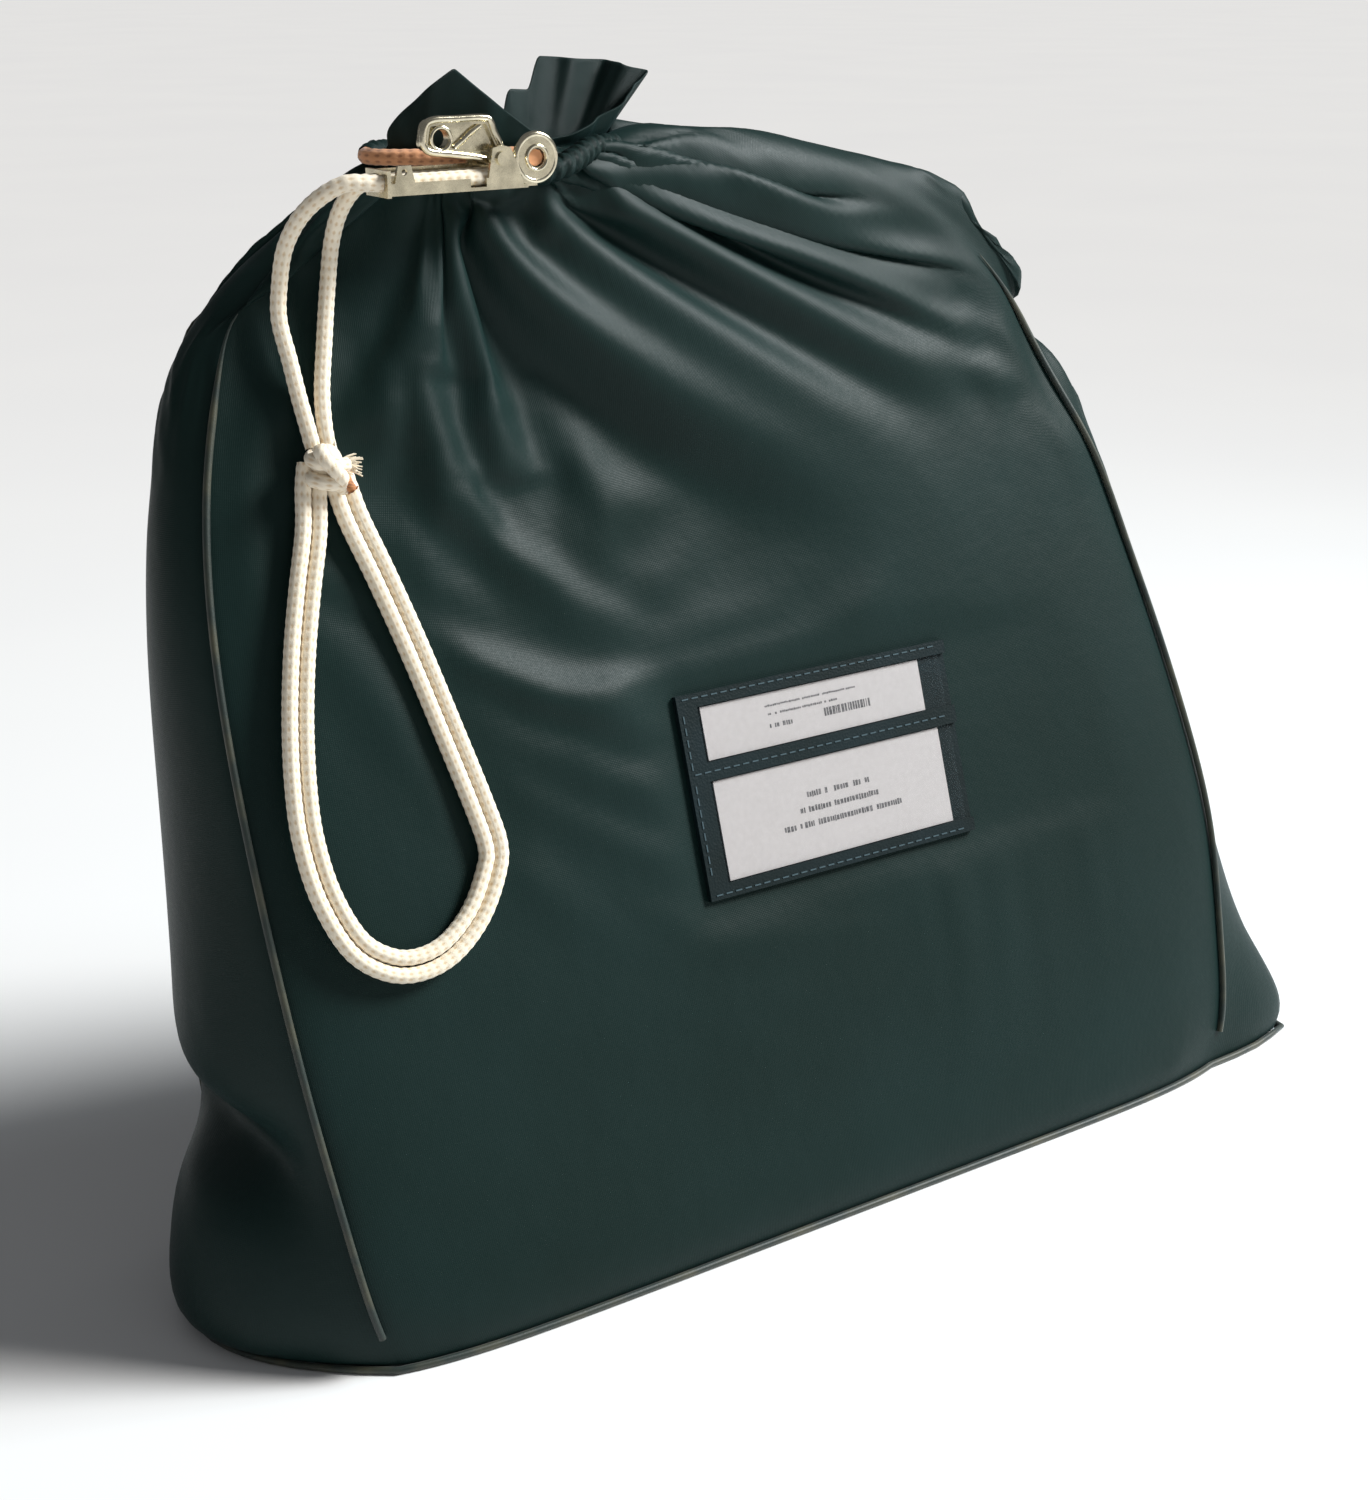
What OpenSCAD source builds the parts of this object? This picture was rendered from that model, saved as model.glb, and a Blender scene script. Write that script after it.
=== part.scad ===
// Cash deposit bag: a gusseted nylon sack with a drawn neck, a cam cord lock with a
// knotted carrying loop, and a sewn label holder with two slide-out cards.
// Millimetres, +Z up, origin at the middle of the footprint on the surface it stands on.
// The front face is one flat plane that leans back, so the label, the cards and the
// hanging loop are all placed on that plane.

/* [Bag] */
// Depth from the middle of the base to the foot of the front face
front_foot = 84; // [80:0.5:84]
// How far the front face leans back for each millimetre of height
front_slope = 0.325; // [0.31:0.005:0.33]
// Depth from the middle of the base to the back face
back_y = 82.4; // [82:0.1:82.6]
// Thickness of the fabric shell
wall_t = 1.6; // [1.2:0.1:2]
// How far the front and back panels turn round into the side seams
edge_turn = 8; // [6:1:10]
// Radius of the piping in the seams
welt_r = 1.5; // [1:0.1:1.8]

/* [Neck] */
// Centre of the drawn neck from left to right
neck_x = -96; // [-98:1:-94]
// Centre of the drawn neck from front to back
neck_y = 58; // [57:0.5:58]
// Half width of the drawn neck
neck_a = 52; // [50:0.5:53]
// Half depth of the drawn neck
neck_b = 16; // [14:0.5:16]
// Height of the seam under the drawcord casing
casing_z = 443; // [442:0.5:444]
// Height of the drawcord casing
casing_h = 16; // [14:0.5:16]
// Thickness of the hemmed casing
casing_t = 2.4; // [2:0.1:2.6]

/* [Cord] */
// Diameter of the braided cord
cord_d = 6.35; // [6:0.05:6.4]

/* [Label holder] */
// Width of the holder
holder_w = 148; // [144:1:150]
// Height of the holder along the front face
holder_h = 88; // [88:1:90]
// Width of the upper card
upper_card_w = 120; // [110:1:126]
// Width of the lower card
lower_card_w = 125; // [115:1:130]

/* [Cord lock] */
// Length of the tray
tray_l = 60; // [58:1:62]
// Depth of the tray from front to back
tray_w = 16; // [15.6:0.1:16]
// Thickness of the stamped plate
plate_t = 1.3; // [1.1:0.1:1.4]
// Radius of the lever's pivot pin
pin_r = 1.5; // [1.3:0.05:1.6]
// Radius of the seal hole in the lever
seal_r = 3.5; // [3:0.1:3.8]

/* [Hidden] */

cord_r = cord_d / 2;
running_gap = 0.05;

// colours of the finishes
nylon = [0.06, 0.13, 0.12];
piping = [0.13, 0.14, 0.09];
vinyl = [0.03, 0.07, 0.10];
thread = [0.08, 0.12, 0.16];
clear_film = [0.80, 0.86, 0.90, 0.35];
card_stock = [0.90, 0.88, 0.88];
nickel = [0.72, 0.70, 0.60];
braid = [0.93, 0.86, 0.74];
shaded_braid = [0.78, 0.48, 0.28];

// Levels of the sack from the base seam to the neck seam:
// [height at left, height at right, left seam x, right seam x, front y, back y,
//  bulge of the left gusset, bulge of the right gusset, share of the drawn neck]
function front_y(z) = -front_foot + front_slope * z;
levels = [
    [wall_t, wall_t, -230, 226, -78.6, back_y - 6, 50, 54, 0],
    [14, 14, -236, 232, front_y(14), back_y - 1, 54, 58, 0],
    [60, 60, -242, 242, front_y(60), back_y - 0.8, 38, 32, 0],
    [120, 120, -248, 250, front_y(120), back_y, 22, 22, 0],
    [200, 200, -252, 238, front_y(200), back_y - 0.4, 12, 16, 0],
    [270, 270, -252, 220, front_y(270), back_y - 1.2, 10, 16, 0],
    [330, 330, -246, 204, front_y(330), back_y - 1.8, 8, 14, 0],
    [380, 380, -230, 190, front_y(380), back_y - 2.6, 6, 12, 0],
    [412, 414, -204, 172, 46, back_y - 3.2, 4, 8, 0.04],
    [432, 440, -176, 124, 42, back_y - 4, 0, 4, 0.2],
    [440, 458, -166, 46, 40, back_y - 5, 0, 0, 0.55],
    [casing_z, casing_z, -150, -40, 41, 75, 0, 0, 1]
];
// Angle round the neck between the middle of a gusset and its seam
gusset_angle = 25;
// Share of the turn that crowns the back panel over its whole width
back_crown = 0.3;
steps_between_levels = 2;
wide_columns = 14;
gusset_columns = 6;

// Corner seams round the outline: 0 front left, 1 front right, 2 back right, 3 back left
FRONT_LEFT = 0;
FRONT_RIGHT = 1;
BACK_RIGHT = 2;
BACK_LEFT = 3;

// Smooth curve through a list at t between its entries k and k+1
function clamp_index(list, k) = max(0, min(len(list) - 1, k));
function curve(list, k, t) =
    let (
        a = list[clamp_index(list, k - 1)],
        b = list[clamp_index(list, k)],
        c = list[clamp_index(list, k + 1)],
        d = list[clamp_index(list, k + 2)]
    )
    0.5 * (2 * b + (c - a) * t + (2 * a - 5 * b + 4 * c - d) * t * t
        + (3 * b - a - 3 * c + d) * t * t * t);

function smooth(list, n) = concat(
    [for (k = [0 : len(list) - 2]) for (i = [0 : n - 1]) curve(list, k, i / n)],
    [list[len(list) - 1]]
);

function mix(a, b, t) = a + (b - a) * t;
function turned(v) = [v[1], -v[0]] / norm(v);

// One point of the sack's outline: s runs from 0 at the front left seam, through the
// front, right gusset, back and left gusset, to 4. inset moves it into the wall.
function outline_point(row, s, inset) =
    let (
        side = floor(min(s, 3.999)),
        t = s - side,
        turn = edge_turn * pow(abs(2 * t - 1), 8),
        back_turn = mix(turn, edge_turn * pow(2 * t - 1, 2), back_crown),
        puff = 1 - (2 * t - 1) * (2 * t - 1),
        xl = row[2] + inset,
        xr = row[3] - inset,
        yf = row[4] + inset,
        yb = row[5] - inset,
        flat =
            side == 0 ? [mix(xl, xr, t), yf + turn] :
            side == 1 ? [xr + row[7] * puff, mix(yf + edge_turn, yb - edge_turn, t)] :
            side == 2 ? [mix(xr, xl, t), yb - back_turn] :
            [xl - row[6] * puff, mix(yb - edge_turn, yf + edge_turn, t)],
        sweep = side % 2 == 0 ? 180 - 2 * gusset_angle : 2 * gusset_angle,
        start = [180, 360, 360, 540][side] + [1, -1, 1, -1][side] * gusset_angle,
        angle = start + sweep * t,
        drawn = [
            neck_x + (neck_a - inset) * cos(angle),
            neck_y + (neck_b - inset) * sin(angle)
        ],
        w = row[8],
        place = mix(flat, drawn, w),
        across = max(0, min(1, (place[0] - row[2]) / (row[3] - row[2]))),
        z = mix(row[0], row[1], across) - 4 * w * (1 - w) * inset
    )
    [place[0], place[1], z];

sack_rows = smooth(levels, steps_between_levels);

// Closed sheet between an outer grid and an inner grid of points
function cell(i, j, n, base) = base + i * n + j;
module sheet(outer, inner) {
    rows = len(outer);
    n = len(outer[0]);
    base = rows * n;
    points = concat([for (r = outer) each r], [for (r = inner) each r]);
    skins = [for (i = [0 : rows - 2]) for (j = [0 : n - 2]) each [
        [cell(i, j, n, 0), cell(i + 1, j, n, 0), cell(i + 1, j + 1, n, 0)],
        [cell(i, j, n, 0), cell(i + 1, j + 1, n, 0), cell(i, j + 1, n, 0)],
        [cell(i, j, n, base), cell(i + 1, j + 1, n, base), cell(i + 1, j, n, base)],
        [cell(i, j, n, base), cell(i, j + 1, n, base), cell(i + 1, j + 1, n, base)]
    ]];
    ends = [for (j = [0 : n - 2]) each [
        [j, j + 1, base + j + 1],
        [j, base + j + 1, base + j],
        [(rows - 1) * n + j, base + (rows - 1) * n + j + 1, (rows - 1) * n + j + 1],
        [(rows - 1) * n + j, base + (rows - 1) * n + j, base + (rows - 1) * n + j + 1]
    ]];
    sides = [for (i = [0 : rows - 2]) each [
        [i * n, base + i * n, base + (i + 1) * n],
        [i * n, base + (i + 1) * n, (i + 1) * n],
        [i * n + n - 1, base + (i + 1) * n + n - 1, base + i * n + n - 1],
        [i * n + n - 1, (i + 1) * n + n - 1, base + (i + 1) * n + n - 1]
    ]];
    faces = concat(ends, sides, skins);
    polyhedron(points, faces, convexity = 8);
}

// One cut piece of the sack between two seams
module sack_panel(from, columns) {
    outer = [for (r = sack_rows) [for (j = [0 : columns]) outline_point(r, from + j / columns, 0)]];
    inner = [for (r = sack_rows)
        [for (j = [0 : columns]) outline_point(r, from + j / columns, wall_t)]];
    sheet(outer, inner);
}

// Closed ring of rows, each [height, half width, half depth]; lift(angle) raises the top row
module ring_wall(rows, t, lift_by) {
    n = 36;
    top = len(rows) - 1;
    function lift(k, angle) = k < top ? 0 : lift_by * (0.55 * cos(2 * angle + 250) + 0.45 * sin(5 * angle));
    function place(k, j, inset) = let (angle = 360 * j / n) [
        neck_x + (rows[k][1] - inset) * cos(angle),
        neck_y + (rows[k][2] - inset) * sin(angle),
        rows[k][0] + lift(k, angle)
    ];
    base = len(rows) * n;
    points = concat(
        [for (k = [0 : top]) for (j = [0 : n - 1]) place(k, j, 0)],
        [for (k = [0 : top]) for (j = [0 : n - 1]) place(k, j, t)]
    );
    faces = concat(
        [for (k = [0 : top - 1]) for (j = [0 : n - 1]) let (m = (j + 1) % n) each [
            [k * n + j, (k + 1) * n + j, (k + 1) * n + m],
            [k * n + j, (k + 1) * n + m, k * n + m],
            [base + k * n + j, base + (k + 1) * n + m, base + (k + 1) * n + j],
            [base + k * n + j, base + k * n + m, base + (k + 1) * n + m]
        ]],
        [for (j = [0 : n - 1]) let (m = (j + 1) % n) each [
            [j, m, base + m],
            [j, base + m, base + j],
            [top * n + j, base + top * n + m, top * n + m],
            [top * n + j, base + top * n + j, base + top * n + m]
        ]]
    );
    polyhedron(points, faces, convexity = 6);
}

// Round tube along a route of points; closed joins its ends
function unit(v) = v / norm(v);
function heading(route, k, closed) =
    let (n = len(route))
    closed ? unit(route[(k + 1) % n] - route[(k + n - 1) % n]) :
    unit(route[min(k + 1, n - 1)] - route[max(k - 1, 0)]);
function carried(up, dir) = unit(up - dir * (up * dir));
function side_vectors(route, closed, k, up) =
    k >= len(route) ? [] :
    let (dir = heading(route, k, closed), here = carried(up, dir))
    concat([here], side_vectors(route, closed, k + 1, here));

module tube(route, r, sides, closed = false) {
    n = len(route);
    first = abs(heading(route, 0, closed)[2]) > 0.8 ? [1, 0.1, 0] : [0.1, 0, 1];
    ups = side_vectors(route, closed, 0, first);
    points = [for (k = [0 : n - 1]) let (dir = heading(route, k, closed), side = cross(dir, ups[k]))
        for (j = [0 : sides - 1])
            route[k] + r * (cos(360 * j / sides) * ups[k] + sin(360 * j / sides) * side)];
    walls = [for (k = [0 : closed ? n - 1 : n - 2]) let (m = (k + 1) % n)
        for (j = [0 : sides - 1]) let (i = (j + 1) % sides) each [
            [k * sides + j, m * sides + i, k * sides + i],
            [k * sides + j, m * sides + j, m * sides + i]
        ]];
    caps = closed ? [] : [
        [for (j = [0 : sides - 1]) j],
        [for (j = [sides - 1 : -1 : 0]) (n - 1) * sides + j]
    ];
    polyhedron(points, concat(walls, caps), convexity = 8);
}

// ---- sack ----

module front_panel() {
    color(nylon) sack_panel(FRONT_LEFT, wide_columns);
}

module right_gusset() {
    color(nylon) sack_panel(FRONT_RIGHT, gusset_columns);
}

module back_panel() {
    color(nylon) sack_panel(BACK_RIGHT, wide_columns);
}

module left_gusset() {
    color(nylon) sack_panel(BACK_LEFT, gusset_columns);
}

function base_outline(columns_each) = [
    for (s = [0 : 3]) for (j = [0 : columns_each[s] - 1])
        let (p = outline_point(sack_rows[0], s + j / columns_each[s], 0)) [p[0], p[1]]
];
outline_columns = [wide_columns, gusset_columns, wide_columns, gusset_columns];

module bottom_panel() {
    color(nylon) linear_extrude(wall_t) polygon(base_outline(outline_columns));
}

// Piping just outside a corner seam, from above the base to the shoulder
welt_gap = 0.15;
function outward(corner) = [
    (corner == FRONT_LEFT || corner == BACK_LEFT) ? -1 : 1,
    corner < BACK_RIGHT ? -1 : 1,
    0
] / sqrt(2);
function seam_route(corner) = [
    for (k = [1 : 14])
        outline_point(sack_rows[k], corner, 0) + (welt_r + welt_gap) * outward(corner)
];
module corner_welt(corner) {
    color(piping) tube(seam_route(corner), welt_r, 8);
}

// Piping round the seam between the walls and the bottom panel
module base_welt() {
    stand_off = 3.4;
    ring = base_outline(outline_columns);
    n = len(ring);
    route = [for (k = [0 : n - 1])
        let (along = ring[(k + 1) % n] - ring[(k + n - 1) % n], p = ring[k] + stand_off * turned(along))
        [p[0], p[1], wall_t + 0.1]
    ];
    color(piping) tube(route, welt_r, 8, true);
}

casing_outer_a = neck_a + casing_t / 2;
casing_outer_b = neck_b + casing_t / 2;

module drawcord_casing() {
    rows = [
        [casing_z, casing_outer_a, casing_outer_b],
        [casing_z + casing_h / 2, casing_outer_a - 0.5, casing_outer_b - 0.5],
        [casing_z + casing_h, casing_outer_a, casing_outer_b]
    ];
    color(nylon) ring_wall(rows, casing_t, 0);
}

module mouth_frill() {
    foot = casing_z + casing_h;
    rows = [
        [foot, casing_outer_a, casing_outer_b],
        [foot + 6, casing_outer_a + 3, casing_outer_b + 2],
        [foot + 15.5, casing_outer_a + 7, casing_outer_b + 4.5]
    ];
    color(nylon) ring_wall(rows, wall_t, 9);
}

// ---- label holder, drawn flat and then laid on the front face ----
// Flat frame: X to the right, Y up along the face, Z out of it.

label_x = 17;
label_z = 188;
on_face_gap = 0.1;
backing_t = 0.6;
pocket_t = 1.0;
card_t = 0.4;
film_t = 0.4;
binding_t = 1.9;
side_border = 10;
rail_h = 6;
strip_low = 6;
strip_high = 14;
film_right = 4;
upper_card_h = 23;
lower_card_h = 43;
card_left = 12;
stitch = [3.2, 0.6, 0.3];
stitch_pitch = 5;
stitch_inset = 2;

module on_front_face() {
    translate([label_x, front_y(label_z), label_z])
        rotate([90 - atan(front_slope), 0, 0])
            translate([0, 0, on_face_gap])
                children();
}

// Plate from its low corner, size and height above the face
module plate(low, high, z, t) {
    translate([low[0], low[1], z]) cube([high[0] - low[0], high[1] - low[1], t]);
}

half_w = holder_w / 2;
half_h = holder_h / 2;
window_low = -half_h + rail_h;
window_high = half_h - rail_h;
film_z = backing_t + pocket_t;
card_z = backing_t + (pocket_t - card_t) / 2;

module label_backing() {
    color(vinyl) on_front_face() plate([-half_w, -half_h], [half_w, half_h], 0, backing_t);
}

module label_binding() {
    color(vinyl) on_front_face() union() {
        plate([-half_w, -half_h], [-half_w + side_border, half_h], backing_t, binding_t);
        plate([-half_w, -half_h], [half_w, window_low], backing_t, binding_t);
        plate([-half_w, strip_low], [half_w, strip_high], backing_t, binding_t);
        plate([-half_w, window_high], [half_w, half_h], backing_t, binding_t);
    }
}

module stitch_row(y) {
    count = floor((holder_w - 2 * stitch_inset) / stitch_pitch);
    for (k = [0 : count - 1])
        translate([-half_w + stitch_inset + 0.9 + k * stitch_pitch, y - stitch[1] / 2, 0]) cube(stitch);
}

module label_stitching() {
    top_of_binding = backing_t + binding_t;
    count = floor((window_high - window_low) / stitch_pitch) - 1;
    color(thread) on_front_face() translate([0, 0, top_of_binding]) {
        stitch_row(-half_h + stitch_inset);
        stitch_row((strip_low + strip_high) / 2);
        stitch_row(half_h - stitch_inset);
        for (k = [0 : count - 1])
            if (abs(window_low + (k + 1.5) * stitch_pitch - (strip_low + strip_high) / 2) > 3)
                translate([-half_w + stitch_inset, window_low + (k + 1) * stitch_pitch, 0])
                    cube([stitch[1], stitch[0], stitch[2]]);
    }
}

module window_film(low, high) {
    color(clear_film) on_front_face()
        plate([-half_w + side_border, low], [half_w - film_right, high], film_z, film_t);
}

module upper_window() {
    window_film(strip_high, window_high);
}

module lower_window() {
    window_film(window_low, strip_low);
}

module card(middle, w, h) {
    color(card_stock) on_front_face()
        plate([-half_w + card_left, middle - h / 2], [-half_w + card_left + w, middle + h / 2], card_z, card_t);
}

module upper_card() {
    card((strip_high + window_high) / 2, upper_card_w, upper_card_h);
}

module lower_card() {
    card((window_low + strip_low) / 2, lower_card_w, lower_card_h);
}

// ---- cord lock, in its own frame: X along the tray, Y from front to back, Z up ----

lock_at = [-168, 16, 440];
lane_z = plate_t + cord_r + 0.05;
front_lane_y = tray_w / 2 - cord_r - 0.22;
rear_lane_y = tray_w / 2 + cord_r + 0.22;
pivot_x = 50;
pivot_z = lane_z + cord_r + 3.75;
cam_r = 3.4;
wall_h = 4.6;
eye_x = 68.6;
eye_z = 10.5;
eye_r = 9;
eye_hole_r = 3.6;
eye_t = 2.4;
eye_y = 4.9;

module in_lock() {
    translate(lock_at) children();
}

// Extrudes an outline drawn in X and Z from y to y + t
module upright(y, t) {
    translate([0, y + t, 0]) rotate([90, 0, 0]) linear_extrude(t) children();
}

// Round bar along Y
module cross_bar(x, z, y, length, r) {
    translate([x, y + length, z]) rotate([90, 0, 0]) cylinder(h = length, r = r, $fn = 48);
}

module lock_tray() {
    color(nickel) in_lock() difference() {
        union() {
            translate([1.6, 0, 0]) cube([tray_l, tray_w, plate_t]);
            upright(0, plate_t) polygon([
                [1.6, 0], [tray_l, 0], [57, 9], [54, 15.5], [50, 16.5], [46, 15.5], [44, wall_h],
                [12, wall_h], [10.5, 11], [5, 11], [3.5, wall_h], [1.6, wall_h]
            ]);
            upright(tray_w - plate_t, plate_t) polygon([
                [1.6, 0], [tray_l + 1.6, 0], [61, 11], [53, 21.5], [50, 23.5], [47.5, 22], [43, 9],
                [4, 9], [1.6, 7]
            ]);
        }
        cross_bar(7.6, 8.6, -1, plate_t + 2, 1.2);
        cross_bar(pivot_x, pivot_z, -1, tray_w + 2, pin_r);
        translate([36, -1, plate_t]) cube([7, plate_t + 2, wall_h]);
    }
}

module lane_bore(y, r) {
    translate([-1, y, lane_z]) rotate([0, 90, 0]) cylinder(h = 4, r = r, $fn = 48);
}

module end_ferrule() {
    color(nickel) in_lock() difference() {
        translate([0, -0.6, -0.6]) cube([1.6, tray_w + 1.2, 10]);
        lane_bore(front_lane_y, cord_r);
        lane_bore(rear_lane_y, cord_r);
    }
}

module noose_eye() {
    color(nickel) in_lock() difference() {
        union() {
            cross_bar(eye_x, eye_z, eye_y, eye_t, eye_r);
            translate([tray_l + 1.6, eye_y, 0]) cube([7, eye_t, 6]);
        }
        cross_bar(eye_x, eye_z, eye_y - 1, eye_t + 2, eye_hole_r);
    }
}

module anchor_rivet() {
    color(nickel) in_lock() translate([54.5, front_lane_y, plate_t]) {
        cylinder(h = 2, r = 1.6, $fn = 32);
        translate([0, 0, 2]) cylinder(h = 1, r = 2.6, $fn = 32);
    }
}

module lever_pin() {
    color(nickel) in_lock() {
        cross_bar(pivot_x, pivot_z, 0, tray_w, pin_r);
        cross_bar(pivot_x, pivot_z, -1.2, 1.2, 2.6);
        cross_bar(pivot_x, pivot_z, tray_w, 0.6, 2.2);
    }
}

// Outline of the lever's plate, inset from its rolled rim
module lever_outline(inset) {
    hull() {
        translate([21.5, 18]) circle(r = 3 - inset, $fn = 32);
        translate([23, 23]) circle(r = 3.5 - inset, $fn = 32);
        translate([45.5, 23]) circle(r = 3.5 - inset, $fn = 32);
        translate([pivot_x, pivot_z + 3]) circle(r = 3 - inset, $fn = 32);
        translate([42, 15]) circle(r = 3 - inset, $fn = 32);
    }
}

module cam_lever() {
    lever_y = 5;
    rim_w = 2.2;
    color(nickel) in_lock() difference() {
        union() {
            upright(lever_y, 5) difference() {
                lever_outline(0);
                lever_outline(rim_w);
            }
            upright(lever_y + 1.5, 2) lever_outline(rim_w / 2);
            cross_bar(26.5, 19.5, lever_y + 0.6, 3.8, seal_r + 1.6);
            cross_bar(pivot_x, pivot_z, plate_t + 0.4, tray_w - 2 * plate_t - 0.8, cam_r);
        }
        cross_bar(26.5, 19.5, lever_y - 1, 7, seal_r);
        cross_bar(pivot_x, pivot_z, 0, tray_w, pin_r + running_gap);
    }
}

module lane_cord(y, length) {
    color(braid) in_lock() translate([0, y, lane_z]) rotate([0, 90, 0]) cylinder(h = length, r = cord_r, $fn = 48);
}

module tray_cord_front() {
    lane_cord(front_lane_y, 51);
}

module tray_cord_rear() {
    lane_cord(rear_lane_y, tray_l + 1.6);
}

// The noose: out of the tray, round the neck and back into the eye
noose_z = 451;
noose_a = casing_outer_a + cord_r + 0.9;
noose_b = casing_outer_b + cord_r + 0.9;
function round_neck(angle) = [neck_x + noose_a * cos(angle), neck_y + noose_b * sin(angle), noose_z];
lane_end = lock_at + [tray_l + 1.6, rear_lane_y, lane_z];
eye_centre = lock_at + [eye_x, eye_y + eye_t / 2, eye_z];
noose_route = concat(
    [lane_end, lane_end + [7, 0, -0.8], lane_end + [15, 0.6, -0.4], lane_end + [27, 3, 2]],
    [for (angle = [-52 : 18 : 236]) round_neck(angle)],
    [[-118, 36.4, 451], [-109, 35.6, 451], [-103, 33.5, 450.8], [-100.2, 30, 450.6]],
    [eye_centre + [0, 3.4, 0], eye_centre]
);

module neck_cord() {
    color(shaded_braid) tube(noose_route, cord_r, 10);
}

// ---- carrying loop, hanging on the front face ----

knot_at = [-197, 18.8, 341];
left_route = [
    lock_at + [0, front_lane_y, lane_z], [-174, 21, 445], [-182, 23, 445], [-190, 28, 440],
    [-196, 34, 432], [-200, 39, 421], [-202, 41, 408], [-204, 39, 395], [-203, 34, 380],
    [-202, 29.5, 366], [-201, 25, 354], [-200.5, 23, 348]
];
right_route = [
    lock_at + [0, rear_lane_y, lane_z], [-173, 28, 444], [-176.5, 32, 439], [-178, 38, 431],
    [-179, 42.5, 420], [-182, 41.5, 404], [-187, 36, 386], [-192, 30, 368], [-194.2, 25, 355],
    [-194, 23, 348]
];
// Middle line of the doubled loop on the face, as [x, height]
loop_line = [
    [-204, 330], [-207, 316], [-214, 296], [-221, 274], [-227, 250], [-231, 226], [-232, 206],
    [-229, 185], [-221, 166], [-209, 156], [-196, 153], [-182, 156], [-168, 166], [-158, 180],
    [-155, 190], [-158, 207], [-165, 236], [-173, 268], [-181, 296], [-188, 318], [-190.5, 330]
];
loop_off_face = 0.6;
face_tilt = sqrt(1 + front_slope * front_slope);
function on_face(p, off) = [p[0], front_y(p[1]) - off / face_tilt, p[1] + off * front_slope / face_tilt];
function loop_route(side) = [
    for (k = [0 : len(loop_line) - 1])
        let (
            ahead = loop_line[min(k + 1, len(loop_line) - 1)],
            behind = loop_line[max(k - 1, 0)],
            p = loop_line[k] + side * (cord_r + 0.08) * turned(ahead - behind)
        )
        on_face(p, cord_r + loop_off_face)
];

module left_strand() {
    color(braid) tube(left_route, cord_r, 8);
}

module right_strand() {
    color(braid) tube(right_route, cord_r, 8);
}

module outer_loop() {
    color(braid) tube(loop_route(1), cord_r, 8);
}

module inner_loop() {
    color(braid) tube(loop_route(-1), cord_r, 8);
}

module carry_knot() {
    color(braid) translate(knot_at) hull() {
        translate([-2, 0, 5]) sphere(r = 7, $fn = 20);
        translate([2, 0, -5]) sphere(r = 7, $fn = 20);
        translate([0, -1, 0]) sphere(r = 8, $fn = 20);
    }
}

module frayed_end() {
    color(braid) tube([[-192, 17, 341], [-188, 15.5, 339.5], [-184.5, 14.5, 337]], 2.4, 8);
}

module sealed_end() {
    color(shaded_braid) tube([[-193.5, 14.5, 338], [-192, 12, 335.5], [-190.5, 10.5, 333]], 2.2, 8);
}

front_panel();
back_panel();
left_gusset();
right_gusset();
bottom_panel();
drawcord_casing();
mouth_frill();
corner_welt(FRONT_LEFT);  // front_left_welt
corner_welt(FRONT_RIGHT);  // front_right_welt
corner_welt(BACK_LEFT);  // back_left_welt
corner_welt(BACK_RIGHT);  // back_right_welt
base_welt();
label_backing();
label_binding();
label_stitching();
upper_window();
lower_window();
upper_card();
lower_card();
lock_tray();
end_ferrule();
noose_eye();
anchor_rivet();
lever_pin();
cam_lever();
tray_cord_front();
tray_cord_rear();
neck_cord();
left_strand();
right_strand();
carry_knot();
outer_loop();
inner_loop();
frayed_end();
sealed_end();
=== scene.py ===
# %% [markdown]
# # A drawn cash sack with a cam cord lock
# The sack is a coated nylon bag, filled and standing. Its mouth is drawn together by a cord noose that a
# cam lock holds, the cord's two ends hang down as a knotted carrying loop, and a sewn label holder carries
# two cards. The frame below brings in the measured CAD model. The metal lock, the label's cards, windows and
# backing stay as they are there and get better materials. The sack and the cords are made again here: the
# sack's cloth by simulation, the frill at its mouth by a formula, and the cords as braided tubes.

import math
import random

import bmesh
import bpy
import numpy as np
from mathutils import Matrix, Vector


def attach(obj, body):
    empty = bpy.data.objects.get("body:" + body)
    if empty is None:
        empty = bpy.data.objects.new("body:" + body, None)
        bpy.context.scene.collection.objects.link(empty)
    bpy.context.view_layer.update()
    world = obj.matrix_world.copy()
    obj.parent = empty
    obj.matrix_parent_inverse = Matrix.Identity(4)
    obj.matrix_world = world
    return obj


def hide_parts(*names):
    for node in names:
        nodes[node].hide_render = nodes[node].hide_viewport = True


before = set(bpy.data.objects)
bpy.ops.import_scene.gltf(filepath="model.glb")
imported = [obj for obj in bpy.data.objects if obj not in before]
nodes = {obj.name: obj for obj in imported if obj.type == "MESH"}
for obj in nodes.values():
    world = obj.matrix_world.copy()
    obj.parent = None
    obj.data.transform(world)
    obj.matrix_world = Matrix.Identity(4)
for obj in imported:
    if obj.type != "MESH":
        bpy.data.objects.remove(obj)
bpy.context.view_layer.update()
scene = bpy.context.scene
random.seed(7)

# %% [markdown]
# ## The camera
# The bag is seen from its front left, a little from above. A longer lens than normal keeps the verticals
# calm, as a catalogue picture does. The camera is placed by its position and by the two angles that it is
# turned through, as one sets up a tripod.

# %% Camera
CAMERA_AT = Vector((-0.5875, -0.776, 0.533))
CAMERA_TURN = 35.0
CAMERA_DOWN = 19.3
LENS_MM = 56.0

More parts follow.
